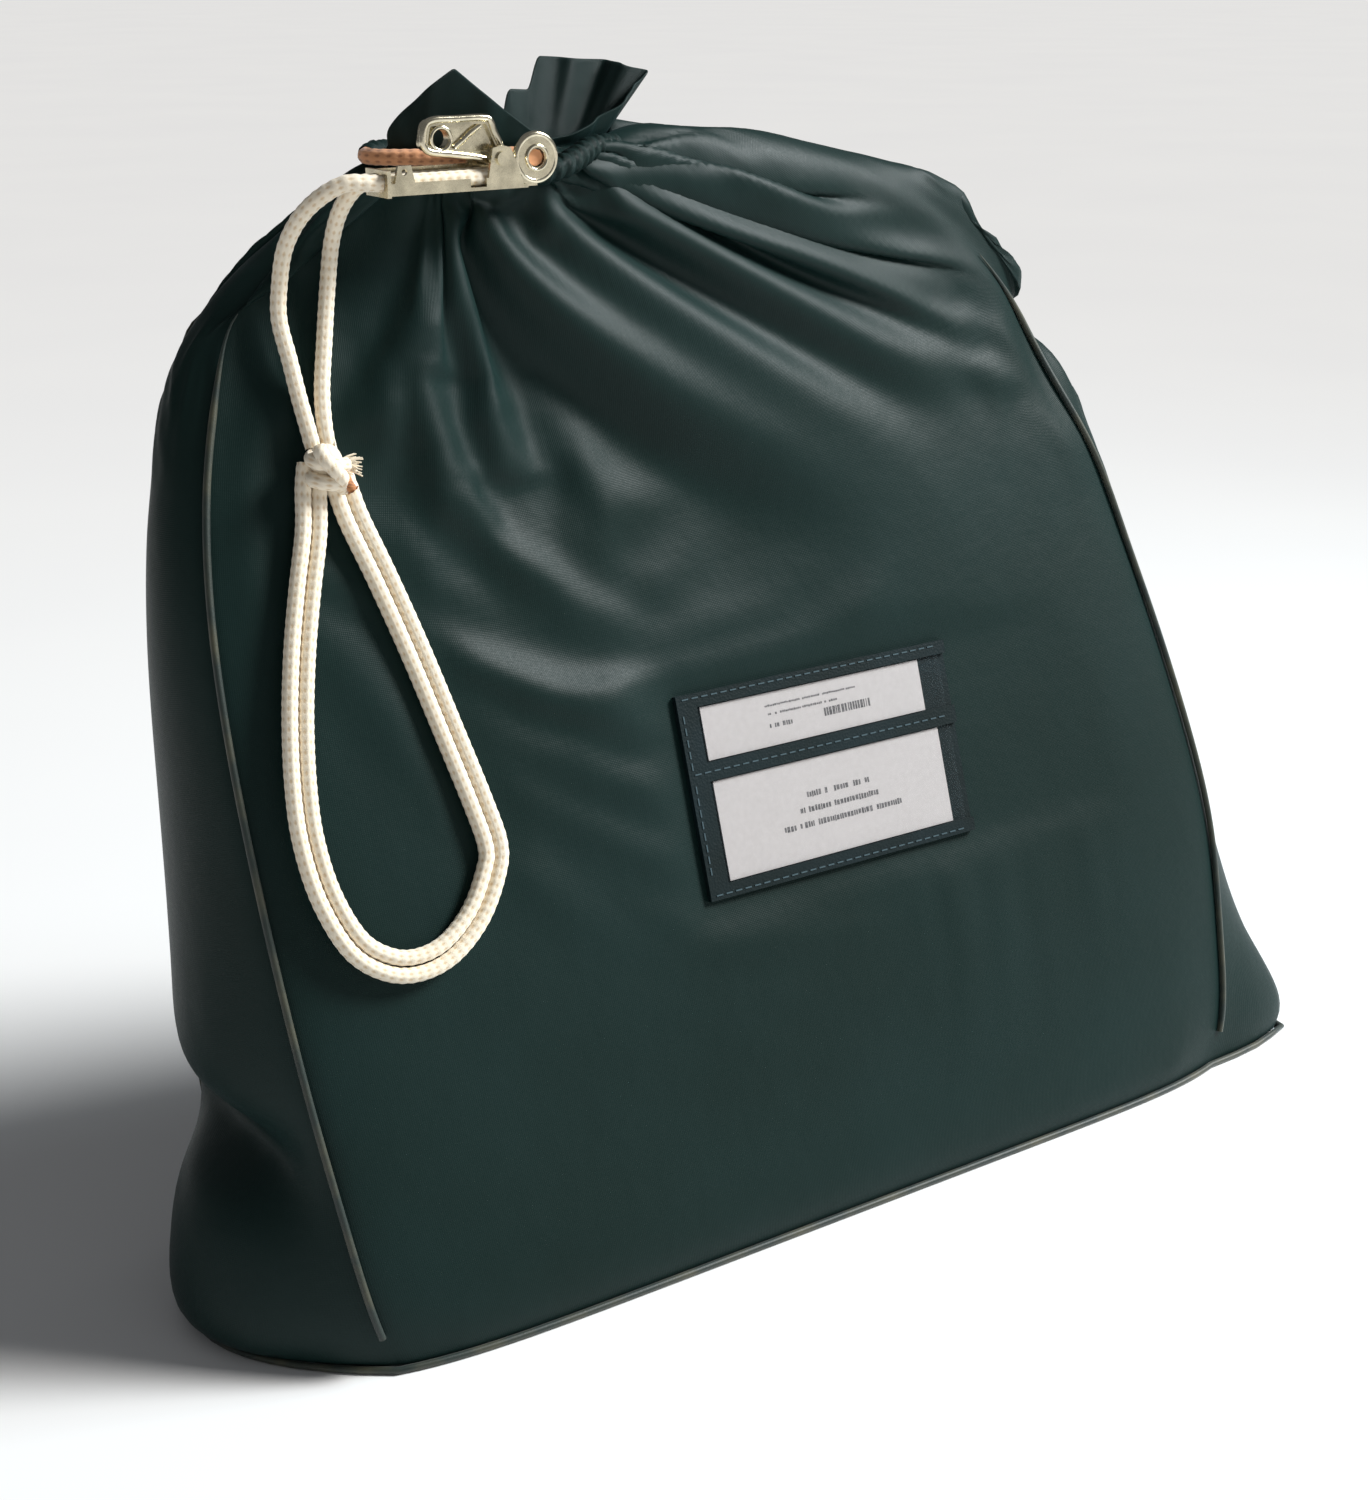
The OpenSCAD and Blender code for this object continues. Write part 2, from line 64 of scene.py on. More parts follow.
camera_data = bpy.data.cameras.new("camera")
camera_data.lens = LENS_MM
camera_data.sensor_width = 36.0
camera_data.clip_start = 0.01
camera = bpy.data.objects.new("camera", camera_data)
scene.collection.objects.link(camera)
camera.location = CAMERA_AT
camera.rotation_euler = (math.radians(90 - CAMERA_DOWN), 0, math.radians(-CAMERA_TURN))
scene.camera = camera
print("camera at", tuple(round(v, 3) for v in CAMERA_AT))

# %% [markdown]
# ## Small helpers
# Each new piece is a bmesh that becomes an object at the origin, with its place in its mesh. The front face
# of the bag is one leaning plane, and several pieces are placed on it, so its equation is kept here.

# %% Helpers
FRONT_FOOT = 0.084
FRONT_SLOPE = 0.325
FACE_TILT = math.hypot(1.0, FRONT_SLOPE)
FACE_NORMAL = Vector((0, -1, FRONT_SLOPE)) / FACE_TILT


def front_y(z):
    return -FRONT_FOOT + FRONT_SLOPE * z


def on_face(x, z, off):
    return Vector((x, front_y(z), z)) + FACE_NORMAL * off


def link(name, mesh_data):
    piece = bpy.data.objects.new(name, mesh_data)
    scene.collection.objects.link(piece)
    return piece


def piece_from(bm, name, smooth=True):
    data = bpy.data.meshes.new(name)
    bm.to_mesh(data)
    bm.free()
    for face in data.polygons:
        face.use_smooth = smooth
    return link(name, data)


def dress(piece, body, material):
    piece.data.materials.clear()
    piece.data.materials.append(material)
    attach(piece, body)
    return piece


def between(a, b, c, d, t):
    """The Catmull-Rom curve from b to c, with a before them and d after them, at t from 0 to 1."""
    return 0.5 * (2 * b + (c - a) * t + (2 * a - 5 * b + 4 * c - d) * t * t
                  + (3 * b - a - 3 * c + d) * t ** 3)


def smooth_route(points, step):
    """A Catmull-Rom curve through the points, then points at equal steps along it."""
    pts = [Vector(p) for p in points]
    dense = []
    for k in range(len(pts) - 1):
        a, b = pts[max(k - 1, 0)], pts[k]
        c, d = pts[k + 1], pts[min(k + 2, len(pts) - 1)]
        dense += [between(a, b, c, d, i / 24) for i in range(24)]
    dense.append(pts[-1])
    arc = [0.0]
    for p, q in zip(dense, dense[1:]):
        arc.append(arc[-1] + (q - p).length)
    count = max(3, round(arc[-1] / step) + 1)
    marks = np.linspace(0, arc[-1], count)
    even = [np.interp(marks, arc, [p[axis] for p in dense]) for axis in range(3)]
    return [Vector(p) for p in zip(*even)], arc[-1]

# %% [markdown]
# ## The cord
# The carrying loop is quarter-inch braid. A braid is many yarns that cross over and under each other in two
# opposite helices, so its surface is a net of small diamond bumps. A bevelled curve gives the round tube
# along the route, and each ring of points is then pushed in and out by the product of the two helices. The
# same height is stored as an attribute, so that the material can paint shade into the valleys between
# the yarns.

# %% Braided cord
CORD_D = 0.00635
CORD_R = CORD_D / 2
LOCK = Vector((-0.168, 0.016, 0.440))
LANE_Z = 0.004525
FRONT_LANE_Y = 0.004605
REAR_LANE_Y = 0.011395
BRAID_CARRIERS = 8
BRAID_PITCH = 0.0078
BRAID_RELIEF = 0.00022
PATH_STEP = 0.0008


def braided(name, points, radius=CORD_R, step=PATH_STEP, sides=32, swell=None):
    """A braided tube along a smooth route. Returns the piece, its centre line and its length."""
    path, length = smooth_route(points, step)
    curve = bpy.data.curves.new(name, "CURVE")
    curve.dimensions = "3D"
    curve.bevel_depth = radius
    curve.bevel_resolution = sides // 2 - 2
    curve.use_fill_caps = True
    curve.twist_mode = "MINIMUM"
    spline = curve.splines.new("POLY")
    spline.points.add(len(path) - 1)
    for point, place in zip(spline.points, path):
        point.co = (*place, 1)
    carrier = bpy.data.objects.new(name + ".curve", curve)
    scene.collection.objects.link(carrier)
    data = bpy.data.meshes.new_from_object(carrier.evaluated_get(bpy.context.evaluated_depsgraph_get()))
    bpy.data.objects.remove(carrier)
    around = len(data.vertices) // len(path)
    height = data.attributes.new("yarn", "FLOAT", "POINT")
    for i, vertex in enumerate(data.vertices):
        ring = min(i // around, len(path) - 1)
        angle = 2 * math.pi * (i % around) / around
        turn = 2 * math.pi * ring * step / BRAID_PITCH
        bump = math.cos(BRAID_CARRIERS / 2 * angle + turn) * math.cos(BRAID_CARRIERS / 2 * angle - turn)
        grow = 1.0 if swell is None else swell(ring / (len(path) - 1))
        out = vertex.co - path[ring]
        if out.length > radius * 0.5:
            vertex.co = path[ring] + out * grow + out.normalized() * BRAID_RELIEF * (bump - 0.3)
        height.data[i].value = 0.5 + 0.5 * bump
    for face in data.polygons:
        face.use_smooth = True
    data.name = name
    return link(name, data), path, length


LEFT_ROUTE = [
    LOCK + Vector((0, FRONT_LANE_Y, LANE_Z)), (-0.174, 0.021, 0.445), (-0.182, 0.023, 0.445),
    (-0.190, 0.028, 0.440), (-0.196, 0.034, 0.432), (-0.200, 0.039, 0.421), (-0.202, 0.041, 0.408),
    (-0.204, 0.039, 0.395), (-0.203, 0.034, 0.380), (-0.202, 0.0295, 0.366), (-0.201, 0.025, 0.354),
    (-0.2005, 0.023, 0.348),
]
RIGHT_ROUTE = [
    LOCK + Vector((0, REAR_LANE_Y, LANE_Z)), (-0.173, 0.028, 0.444), (-0.1765, 0.032, 0.439),
    (-0.178, 0.038, 0.431), (-0.179, 0.0425, 0.420), (-0.182, 0.0415, 0.404), (-0.187, 0.036, 0.386),
    (-0.192, 0.030, 0.368), (-0.1942, 0.025, 0.355), (-0.194, 0.023, 0.348),
]
LOOP_LINE = [
    (-0.2010, 0.3400), (-0.2026, 0.3352), (-0.204, 0.330), (-0.207, 0.316), (-0.214, 0.296),
    (-0.221, 0.274), (-0.227, 0.250), (-0.231, 0.226), (-0.232, 0.206), (-0.229, 0.185), (-0.221, 0.166),
    (-0.209, 0.156), (-0.196, 0.153), (-0.182, 0.156), (-0.168, 0.166), (-0.158, 0.180), (-0.155, 0.190),
    (-0.158, 0.207), (-0.165, 0.236), (-0.173, 0.268), (-0.181, 0.296), (-0.188, 0.318), (-0.1905, 0.330),
    (-0.1915, 0.3352), (-0.1928, 0.3400),
]
LOOP_OFF_FACE = 0.0006
KNOT_AT = Vector((-0.197, 0.0188, 0.341))


def loop_route(side):
    """One of the two cords of the doubled loop: side is 1 for the outer cord and -1 for the inner one."""
    route = []
    for k, (x, z) in enumerate(LOOP_LINE):
        ahead = Vector(LOOP_LINE[min(k + 1, len(LOOP_LINE) - 1)])
        behind = Vector(LOOP_LINE[max(k - 1, 0)])
        along = (ahead - behind).normalized()
        shift = side * (CORD_R + 0.00008)
        route.append(on_face(x + shift * along[1], z - shift * along[0], CORD_R + LOOP_OFF_FACE))
    return route


left_strand, left_path, left_length = braided("left_strand_braid", LEFT_ROUTE)
right_strand, right_path, right_length = braided("right_strand_braid", RIGHT_ROUTE)
outer_loop, outer_path, outer_length = braided("outer_loop_braid", loop_route(1))
inner_loop, inner_path, inner_length = braided("inner_loop_braid", loop_route(-1))
for label, value in (("left strand", left_length), ("right strand", right_length),
                     ("outer loop", outer_length), ("inner loop", inner_length)):
    print(label, "is", round(value * 1000), "mm long")

# %% [markdown]
# ## The sack's cut
# A drawcord sack is sewn as a straight tube of cloth with side gussets and a flat bottom, and only the cord
# gives it a neck. So the cloth starts as that straight tube, as wide at the top as it is at the shoulder. Its
# lower part already lies on the filled shape, and its upper part stands up straight, as long as the way that
# it has to go over the shoulder to the neck.

# %% Outline of the filled sack
# height left and right, seam x left and right, front y, back y, gusset bulge left and right, share of neck
LEVELS = np.array([
    (0.0016, 0.0016, -0.230, 0.226, -0.078, 0.0766, 0.050, 0.054, 0),
    (0.014, 0.014, -0.236, 0.232, front_y(0.014), 0.0816, 0.054, 0.058, 0),
    (0.060, 0.060, -0.242, 0.242, front_y(0.060), 0.0818, 0.038, 0.032, 0),
    (0.120, 0.120, -0.248, 0.250, front_y(0.120), 0.0826, 0.022, 0.022, 0),
    (0.200, 0.200, -0.252, 0.238, front_y(0.200), 0.0822, 0.012, 0.016, 0),
    (0.270, 0.270, -0.252, 0.220, front_y(0.270), 0.0814, 0.010, 0.016, 0),
    (0.330, 0.330, -0.246, 0.204, front_y(0.330), 0.0808, 0.008, 0.014, 0),
    (0.380, 0.380, -0.230, 0.190, front_y(0.380), 0.0800, 0.006, 0.012, 0),
    (0.412, 0.414, -0.204, 0.172, 0.046, 0.0794, 0.004, 0.008, 0.04),
    (0.432, 0.440, -0.176, 0.124, 0.042, 0.0786, 0, 0.004, 0.2),
    (0.440, 0.458, -0.166, 0.046, 0.040, 0.0776, 0, 0, 0.55),
    (0.443, 0.443, -0.150, -0.040, 0.041, 0.0750, 0, 0, 1),
])
NECK_AT = Vector((-0.096, 0.058))
NECK_A, NECK_B = 0.052, 0.016
EDGE_TURN = 0.008
GUSSET_ANGLE = 25.0


def neck_angle(side, t):
    """The angle round the neck, in radians, that t along a side of the sack goes to."""
    sweep = (180 - 2 * GUSSET_ANGLE) if side % 2 == 0 else 2 * GUSSET_ANGLE
    start = (180, 360, 360, 540)[side] + (1, -1, 1, -1)[side] * GUSSET_ANGLE
    return math.radians(start + sweep * t)


def level_at(t):
    """The level at t, from 0 at the base to 1 at the neck, on a smooth curve through the levels."""
    place = t * (len(LEVELS) - 1)
    k = min(int(place), len(LEVELS) - 2)
    u = place - k
    a, b = LEVELS[max(k - 1, 0)], LEVELS[k]
    c, d = LEVELS[k + 1], LEVELS[min(k + 2, len(LEVELS) - 1)]
    return between(a, b, c, d, u)


def outline_point(level, s, inset=0.0, hollow=0.0):
    """A point of the outline: s goes 0 to 4 through the front, right gusset, back and left gusset.
    hollow is how far the upper front falls back, where the contents don't fill it."""
    z_left, z_right, x_left, x_right, y_front, y_back, bulge_left, bulge_right, drawn = level
    side = int(min(s, 3.9999))
    t = s - side
    x_left, x_right, y_front, y_back = x_left + inset, x_right - inset, y_front + inset, y_back - inset
    turn = EDGE_TURN * abs(2 * t - 1) ** 8
    back_turn = 0.7 * turn + 0.3 * EDGE_TURN * (2 * t - 1) ** 2
    puff = 1 - (2 * t - 1) ** 2
    sunk = hollow * puff * float(np.interp(z_left, [0.22, 0.33, 0.41, 0.438], [0, 1, 1, 0]))
    flat = [
        (x_left + (x_right - x_left) * t, y_front + turn + sunk),
        (x_right + bulge_right * puff, y_front + EDGE_TURN + (y_back - y_front - 2 * EDGE_TURN) * t),
        (x_right + (x_left - x_right) * t, y_back - back_turn),
        (x_left - bulge_left * puff, y_back - EDGE_TURN + (y_front - y_back + 2 * EDGE_TURN) * t),
    ][side]
    if side == 1:
        # the boxed corner at the right foot points forwards
        low = max(0.0, 1 - z_left / 0.125) * float(np.interp(t, [0, 0.1, 0.25, 0.45, 1], [0, 0.5, 1, 0.4, 0]))
        flat = (flat[0] + 0.021 * low, flat[1] - 0.026 * low)
    if side == 3:
        # the left gusset has a tuck across it near the base
        flat = (flat[0] + 0.032 * puff * math.exp(-((z_left - 0.080) / 0.016) ** 2), flat[1])
    angle = neck_angle(side, t)
    ring = (NECK_AT[0] + (NECK_A - inset) * math.cos(angle), NECK_AT[1] + (NECK_B - inset) * math.sin(angle))
    x = flat[0] + (ring[0] - flat[0]) * drawn
    y = flat[1] + (ring[1] - flat[1]) * drawn
    across = min(1, max(0, (x - level[2]) / (level[3] - level[2])))
    z = z_left + (z_right - z_left) * across - 4 * drawn * (1 - drawn) * inset
    return Vector((x, y, z))


# %% Grid of the cloth
FRONT_COLUMNS, GUSSET_COLUMNS = 56, 16
SIDE_COLUMNS = (FRONT_COLUMNS, GUSSET_COLUMNS, FRONT_COLUMNS, GUSSET_COLUMNS)
COLUMNS = [side + j / count for side, count in enumerate(SIDE_COLUMNS) for j in range(count)]
BODY_ROWS, SHOULDER_ROWS = 42, 34
SHOULDER_T = 6.0 / (len(LEVELS) - 1)
SLACK = 1.05


def filled_shape(inset=0.0, hollow=0.0):
    """The cloth's grid laid on the filled shape: rows from the base to the neck, columns round it."""
    ts = np.concatenate([np.linspace(0, SHOULDER_T, BODY_ROWS, endpoint=False),
                         np.linspace(SHOULDER_T, 1, SHOULDER_ROWS + 1)])
    return np.array([[outline_point(level_at(t), s, inset, hollow) for s in COLUMNS] for t in ts])


def even_rows(grid):
    """Moves the rows of each column to equal steps along it, in the body and in the shoulder apart."""
    out = grid.copy()
    for j in range(grid.shape[1]):
        for low, high in ((0, BODY_ROWS), (BODY_ROWS, len(grid) - 1)):
            part = grid[low:high + 1, j]
            arc = np.concatenate([[0], np.cumsum(np.linalg.norm(np.diff(part, axis=0), axis=1))])
            marks = np.linspace(0, arc[-1], high - low + 1)
            out[low:high + 1, j] = np.stack([np.interp(marks, arc, part[:, a]) for a in range(3)], 1)
    return out


filled = even_rows(filled_shape())
shoulder = filled[BODY_ROWS]
rise = np.linalg.norm(np.diff(filled[BODY_ROWS:], axis=0), axis=2).cumsum(0) * SLACK
straight = filled.copy()
for i in range(SHOULDER_ROWS):
    level = np.zeros_like(rise[i])
    straight[BODY_ROWS + 1 + i] = shoulder + np.stack([level, level, rise[i]], 1)

# %% [markdown]
# ## Drawing the neck together
# Folds that are modelled by hand look like waves. Here the cloth solver makes them: the base seam is pinned,
# the top edge is pinned too and moves in to the noose, and the cloth in between is dragged over a solid
# filler of the bag's filled shape. The gussets, the seams and the lower front are held softly, because the
# contents press there. What is too wide for the neck has to buckle, and that gives the fan of folds. The
# filler is thrown away afterwards and the result is kept as a plain mesh.

# %% Cloth grid as a mesh
def grid_mesh(name, grid):
    """A tube of quads from a grid of points, closed round."""
    rows, columns = grid.shape[:2]
    bm = bmesh.new()
    rings = [[bm.verts.new(p) for p in row] for row in grid]
    for low, high in zip(rings, rings[1:]):
        for j in range(columns):
            m = (j + 1) % columns
            bm.faces.new((low[j], low[m], high[m], high[j]))
    data = bpy.data.meshes.new(name)
    bm.to_mesh(data)
    bm.free()
    return link(name, data)


NOOSE_Z = 0.4495
PLEATS = 13


def noose_ring():
    """Where the drawn edge of the cloth ends: close round the neck, in soft pleats under the cord."""
    points = []
    for s in COLUMNS:
        angle = neck_angle(int(s), s - int(s))
        pleat = 0.0022 * math.cos(PLEATS * 2 * angle) + 0.0012 * math.cos(7 * angle + 1)
        points.append((NECK_AT[0] + (NECK_A + pleat) * math.cos(angle),
                       NECK_AT[1] + (NECK_B + pleat) * math.sin(angle), NOOSE_Z))
    return np.array(points)


FILLER_INSET = 0.0045
UNFILLED = 0.006
SIM_FRAMES = 48
DRAW_FRAMES = 38


def hold_of(i, j):
    """How firmly the contents hold a point of the cloth: the edges, the gussets and the lower front."""
    last = BODY_ROWS + SHOULDER_ROWS
    if i == 0 or i == last:
        return 1.0
    from_seam = abs(COLUMNS[j] - round(COLUMNS[j]))
    in_gusset = 1 <= COLUMNS[j] <= 2 or COLUMNS[j] >= 3
    edge = 1.0 if in_gusset else max(0.0, 1 - from_seam / 0.04)
    height = i / BODY_ROWS
    fade = max(0.0, min(1.0, (last - 8 - i) / 10))
    lower = max(0.0, min(1.0, (0.5 - height) / 0.3))
    return max(0.34 * edge * fade, 0.2 * lower)


def drawn_cloth():
    """Simulates the drawing of the neck and returns the cloth's points as a grid."""
    filler = grid_mesh("filler", even_rows(filled_shape(inset=FILLER_INSET, hollow=UNFILLED)))
    fill = bmesh.new()
    fill.from_mesh(filler.data)
    ends = [e for e in fill.edges if e.is_boundary]
    bmesh.ops.holes_fill(fill, edges=ends, sides=0)
    fill.to_mesh(filler.data)
    fill.free()
    filler.modifiers.new("collision", "COLLISION")
    filler.collision.thickness_outer = 0.003
    filler.collision.cloth_friction = 2.0
    cloth = grid_mesh("cloth", straight)
    rows, columns = straight.shape[:2]
    pins = cloth.vertex_groups.new(name="pins")
    cloth.shape_key_add(name="rest")
    key = cloth.shape_key_add(name="drawn")
    for i in range(rows):
        for j in range(columns):
            hold = hold_of(i, j)
            if hold > 0:
                pins.add([i * columns + j], hold, "REPLACE")
                key.data[i * columns + j].co = filled[i, j]
    for j, place in enumerate(noose_ring()):
        key.data[(rows - 1) * columns + j].co = place
    key.value = 0.0
    key.keyframe_insert("value", frame=1)
    key.value = 1.0
    key.keyframe_insert("value", frame=DRAW_FRAMES)
    modifier = cloth.modifiers.new("cloth", "CLOTH")
    settings = modifier.settings
    settings.quality = 5
    settings.mass = 0.06
    settings.tension_stiffness = 40
    settings.compression_stiffness = 30
    settings.shear_stiffness = 8
    settings.bending_stiffness = 0.6
    settings.tension_damping = 10
    settings.compression_damping = 10
    settings.shear_damping = 8
    settings.bending_damping = 1.0
    settings.air_damping = 3
    settings.vertex_group_mass = "pins"
    settings.pin_stiffness = 8
    modifier.collision_settings.distance_min = 0.002
    modifier.collision_settings.collision_quality = 3
    modifier.collision_settings.use_self_collision = False
    modifier.point_cache.frame_start = 1
    modifier.point_cache.frame_end = SIM_FRAMES
    scene.frame_start, scene.frame_end = 1, SIM_FRAMES
    for frame_number in range(1, SIM_FRAMES + 1):
        scene.frame_set(frame_number)
    result = cloth.evaluated_get(bpy.context.evaluated_depsgraph_get())
    points = np.zeros(rows * columns * 3, np.float32)
    result.data.vertices.foreach_get("co", points)
    bpy.data.objects.remove(cloth)
    bpy.data.objects.remove(filler)
    return points.reshape(rows, columns, 3).astype(float)

# %% [markdown]
# ## From simulated cloth to the sack
# The solver leaves the cloth a few millimetres off, and it doesn't know the cord that hangs on the face or
# the label that is sewn there. So the points near those are pressed back along the face's normal, with a
# slope round the pressed place that a real cloth would have under a light cord. A long fold fades out that
# way instead of being cut off. The folds of the back are flattened a little too, so that it stays in its
# depth, and the sewn seams are evened out, because the piping in them is stiffer than the cloth.

# %% Press the cloth back under the cords and the label
LABEL_X, LABEL_Z = 0.017, 0.188
LABEL_HALF_W, LABEL_HALF_H = 0.074, 0.044
CARD_REACH = 0.135
REST_CLEARANCE = 0.0005
BACK_FULL, BACK_GIVE = 0.084, 0.009
CALMING_TURNS = 9
LOWEST_CLOTH = 0.0012


def pressed(grid):
    """The cloth's grid with its front kept behind the cords and the label, and its back in its depth."""
    points = grid.reshape(-1, 3).copy()
    normal = np.array(FACE_NORMAL)
    front = np.tile([s < 1 or s > 3.6 for s in COLUMNS], grid.shape[0])
    off = (points - np.array([0, -FRONT_FOOT, 0])) @ normal
    from_label = points[:, 0] - LABEL_X
    beside = np.maximum(-from_label - LABEL_HALF_W, from_label - LABEL_HALF_W - CARD_REACH)
    above = np.abs(points[:, 2] - LABEL_Z) - LABEL_HALF_H
    away = np.hypot(np.maximum(beside, 0), np.maximum(above, 0))
    limit = -REST_CLEARANCE + 0.18 * away + 2.0 * away ** 2
    for path in (left_path, right_path, outer_path, inner_path):
        for place in path[::12]:
            apart = points - np.array(place)
            height = apart @ normal
            aside = np.linalg.norm(apart - height[:, None] * normal, axis=1)
            reach = off - height - CORD_R - REST_CLEARANCE + 0.25 * np.maximum(aside - 0.006, 0) \
                + 9.0 * np.maximum(aside - 0.006, 0) ** 2
            limit = np.minimum(limit, np.where(aside < 0.04, reach, 1.0))
    push = np.where(front, np.maximum(off - limit, 0), 0)
    points = points - push[:, None] * normal
    past = np.maximum(points[:, 1] - BACK_FULL, 0)
    points[:, 1] -= past - BACK_GIVE * np.tanh(past / BACK_GIVE)
    return points.reshape(grid.shape)


def calmed(grid):
    """Evens out the solver's small kinks: once everywhere, and eight times along the sewn seams."""
    seam = np.array([min(abs(s - round(s)) * SIDE_COLUMNS[int(s)], 4) / 4 for s in COLUMNS])
    for turn in range(CALMING_TURNS):
        share = (0.4 * np.ones(len(COLUMNS)) if turn == 0 else 0.5 * (1 - seam))[None, :, None]
        middle = (grid[:-2] + grid[2:]) / 2
        if turn == 0:
            middle = (middle + (np.roll(grid, 1, 1)[1:-1] + np.roll(grid, -1, 1)[1:-1]) / 2) / 2
        grid = np.concatenate([grid[:1], grid[1:-1] + share * (middle - grid[1:-1]), grid[-1:]])
    return grid


raw_cloth = drawn_cloth()
sack_grid = pressed(calmed(raw_cloth))
sack_grid[:, :, 2] = np.maximum(sack_grid[:, :, 2], LOWEST_CLOTH)
print("cloth pressed back under the cords; it spans", sack_grid.reshape(-1, 3).min(0).round(3),
      "to", sack_grid.reshape(-1, 3).max(0).round(3))

# %% [markdown]
# ## Finishes
# Coated nylon is nearly black where it turns away and blue grey where it catches light, so it gets a dark
# base, a soft sheen and a fine weave that follows the cloth's own threads. The weave runs on a UV map that is
# laid out like the cut cloth, because a pattern in object space would run through the folds.

# %% Node helpers
def finish(name, colour, roughness, metallic=0.0):
    """A new material. Returns it with its nodes, links and main shader."""
    material = bpy.data.materials.new(name)
    material.use_nodes = True
    tree = material.node_tree
    shader = tree.nodes["Principled BSDF"]
    shader.inputs["Base Color"].default_value = (*colour, 1)
    shader.inputs["Roughness"].default_value = roughness
    shader.inputs["Metallic"].default_value = metallic
    return material, tree.nodes, tree.links, shader


def noise(nodes_, links, source, scale, detail=3.0, roughness=0.5):
    texture = nodes_.new("ShaderNodeTexNoise")
    texture.inputs["Scale"].default_value = scale
    texture.inputs["Detail"].default_value = detail
    texture.inputs["Roughness"].default_value = roughness
    links.new(source, texture.inputs["Vector"])
    return texture.outputs["Fac"]


def ramp(nodes_, links, value, low, high, colour_low, colour_high):
    step = nodes_.new("ShaderNodeValToRGB")
    step.color_ramp.elements[0].position, step.color_ramp.elements[1].position = low, high
    step.color_ramp.elements[0].color = (*colour_low, 1)
    step.color_ramp.elements[1].color = (*colour_high, 1)
    links.new(value, step.inputs["Fac"])
    return step.outputs["Color"]


def spread(nodes_, links, value, low, high):
    """The value from 0..1 mapped onto low..high."""
    step = nodes_.new("ShaderNodeMapRange")
    step.inputs["To Min"].default_value, step.inputs["To Max"].default_value = low, high
    links.new(value, step.inputs["Value"])
    return step.outputs["Result"]


def bump(nodes_, links, height, depth, strength=1.0, under=None):
    step = nodes_.new("ShaderNodeBump")
    step.inputs["Distance"].default_value = depth
    step.inputs["Strength"].default_value = strength
    links.new(height, step.inputs["Height"])
    if under is not None:
        links.new(under, step.inputs["Normal"])
    return step.outputs["Normal"]


def threads(nodes_, links, uv, pitch):
    """Warp and weft of a plain weave: two crossed sets of bands, multiplied. At scale 1 the bands repeat
    every 0.314 units."""
    bands = []
    for direction in ("X", "Y"):
        wave = nodes_.new("ShaderNodeTexWave")
        wave.bands_direction = direction
        wave.inputs["Scale"].default_value = 0.314 / pitch
        wave.inputs["Distortion"].default_value = 0.6
        wave.inputs["Detail"].default_value = 1.0
        wave.inputs["Detail Scale"].default_value = 0.4
        links.new(uv, wave.inputs["Vector"])
        bands.append(wave.outputs["Fac"])
    cross = nodes_.new("ShaderNodeMath")
    cross.operation = "MULTIPLY"
    links.new(bands[0], cross.inputs[0])
    links.new(bands[1], cross.inputs[1])
    return cross.outputs[0]


# %% Coated nylon, dark green
WEAVE_PITCH = 0.0007


def nylon(name, colour_low, colour_high):
    material, ns, links, shader = finish(name, colour_low, 0.42)
    place = ns.new("ShaderNodeTexCoord")
    weave = threads(ns, links, place.outputs["UV"], WEAVE_PITCH)
    cloudy = noise(ns, links, place.outputs["Object"], 9.0, 4.0)
    crinkle = noise(ns, links, place.outputs["Object"], 70.0, 3.0)
    grain = noise(ns, links, place.outputs["UV"], 900.0, 2.0)
    links.new(ramp(ns, links, cloudy, 0.3, 0.72, colour_low, colour_high), shader.inputs["Base Color"])
    links.new(spread(ns, links, grain, 0.36, 0.56), shader.inputs["Roughness"])
    wavy = bump(ns, links, crinkle, 0.0009, 0.35)
    links.new(bump(ns, links, weave, 0.00009, 0.55, wavy), shader.inputs["Normal"])
    shader.inputs["Specular IOR Level"].default_value = 0.15
    shader.inputs["Sheen Weight"].default_value = 0.02
    shader.inputs["Sheen Roughness"].default_value = 0.42
    shader.inputs["Sheen Tint"].default_value = (0.42, 0.62, 0.72, 1)
    return material


sack_nylon = nylon("sack nylon", (0.0040, 0.0152, 0.0130), (0.0066, 0.0210, 0.0194))
piping_cloth, ns, links, shader = finish("piping cloth", (0.030, 0.036, 0.022), 0.5)
place = ns.new("ShaderNodeTexCoord")
edge_tone_and_highlight = noise(ns, links, place.outputs["Object"], 55.0, 3.0)
# khaki patches: partly the seam's own yellower raw edge, partly painted highlight
links.new(ramp(ns, links, edge_tone_and_highlight, 0.40, 0.75, (0.007, 0.018, 0.014), (0.075, 0.070, 0.038)),
          shader.inputs["Base Color"])
links.new(bump(ns, links, noise(ns, links, place.outputs["Object"], 1500.0), 0.0002, 0.5),
          shader.inputs["Normal"])
shader.inputs["Sheen Weight"].default_value = 0.2
print("cloth finishes made")
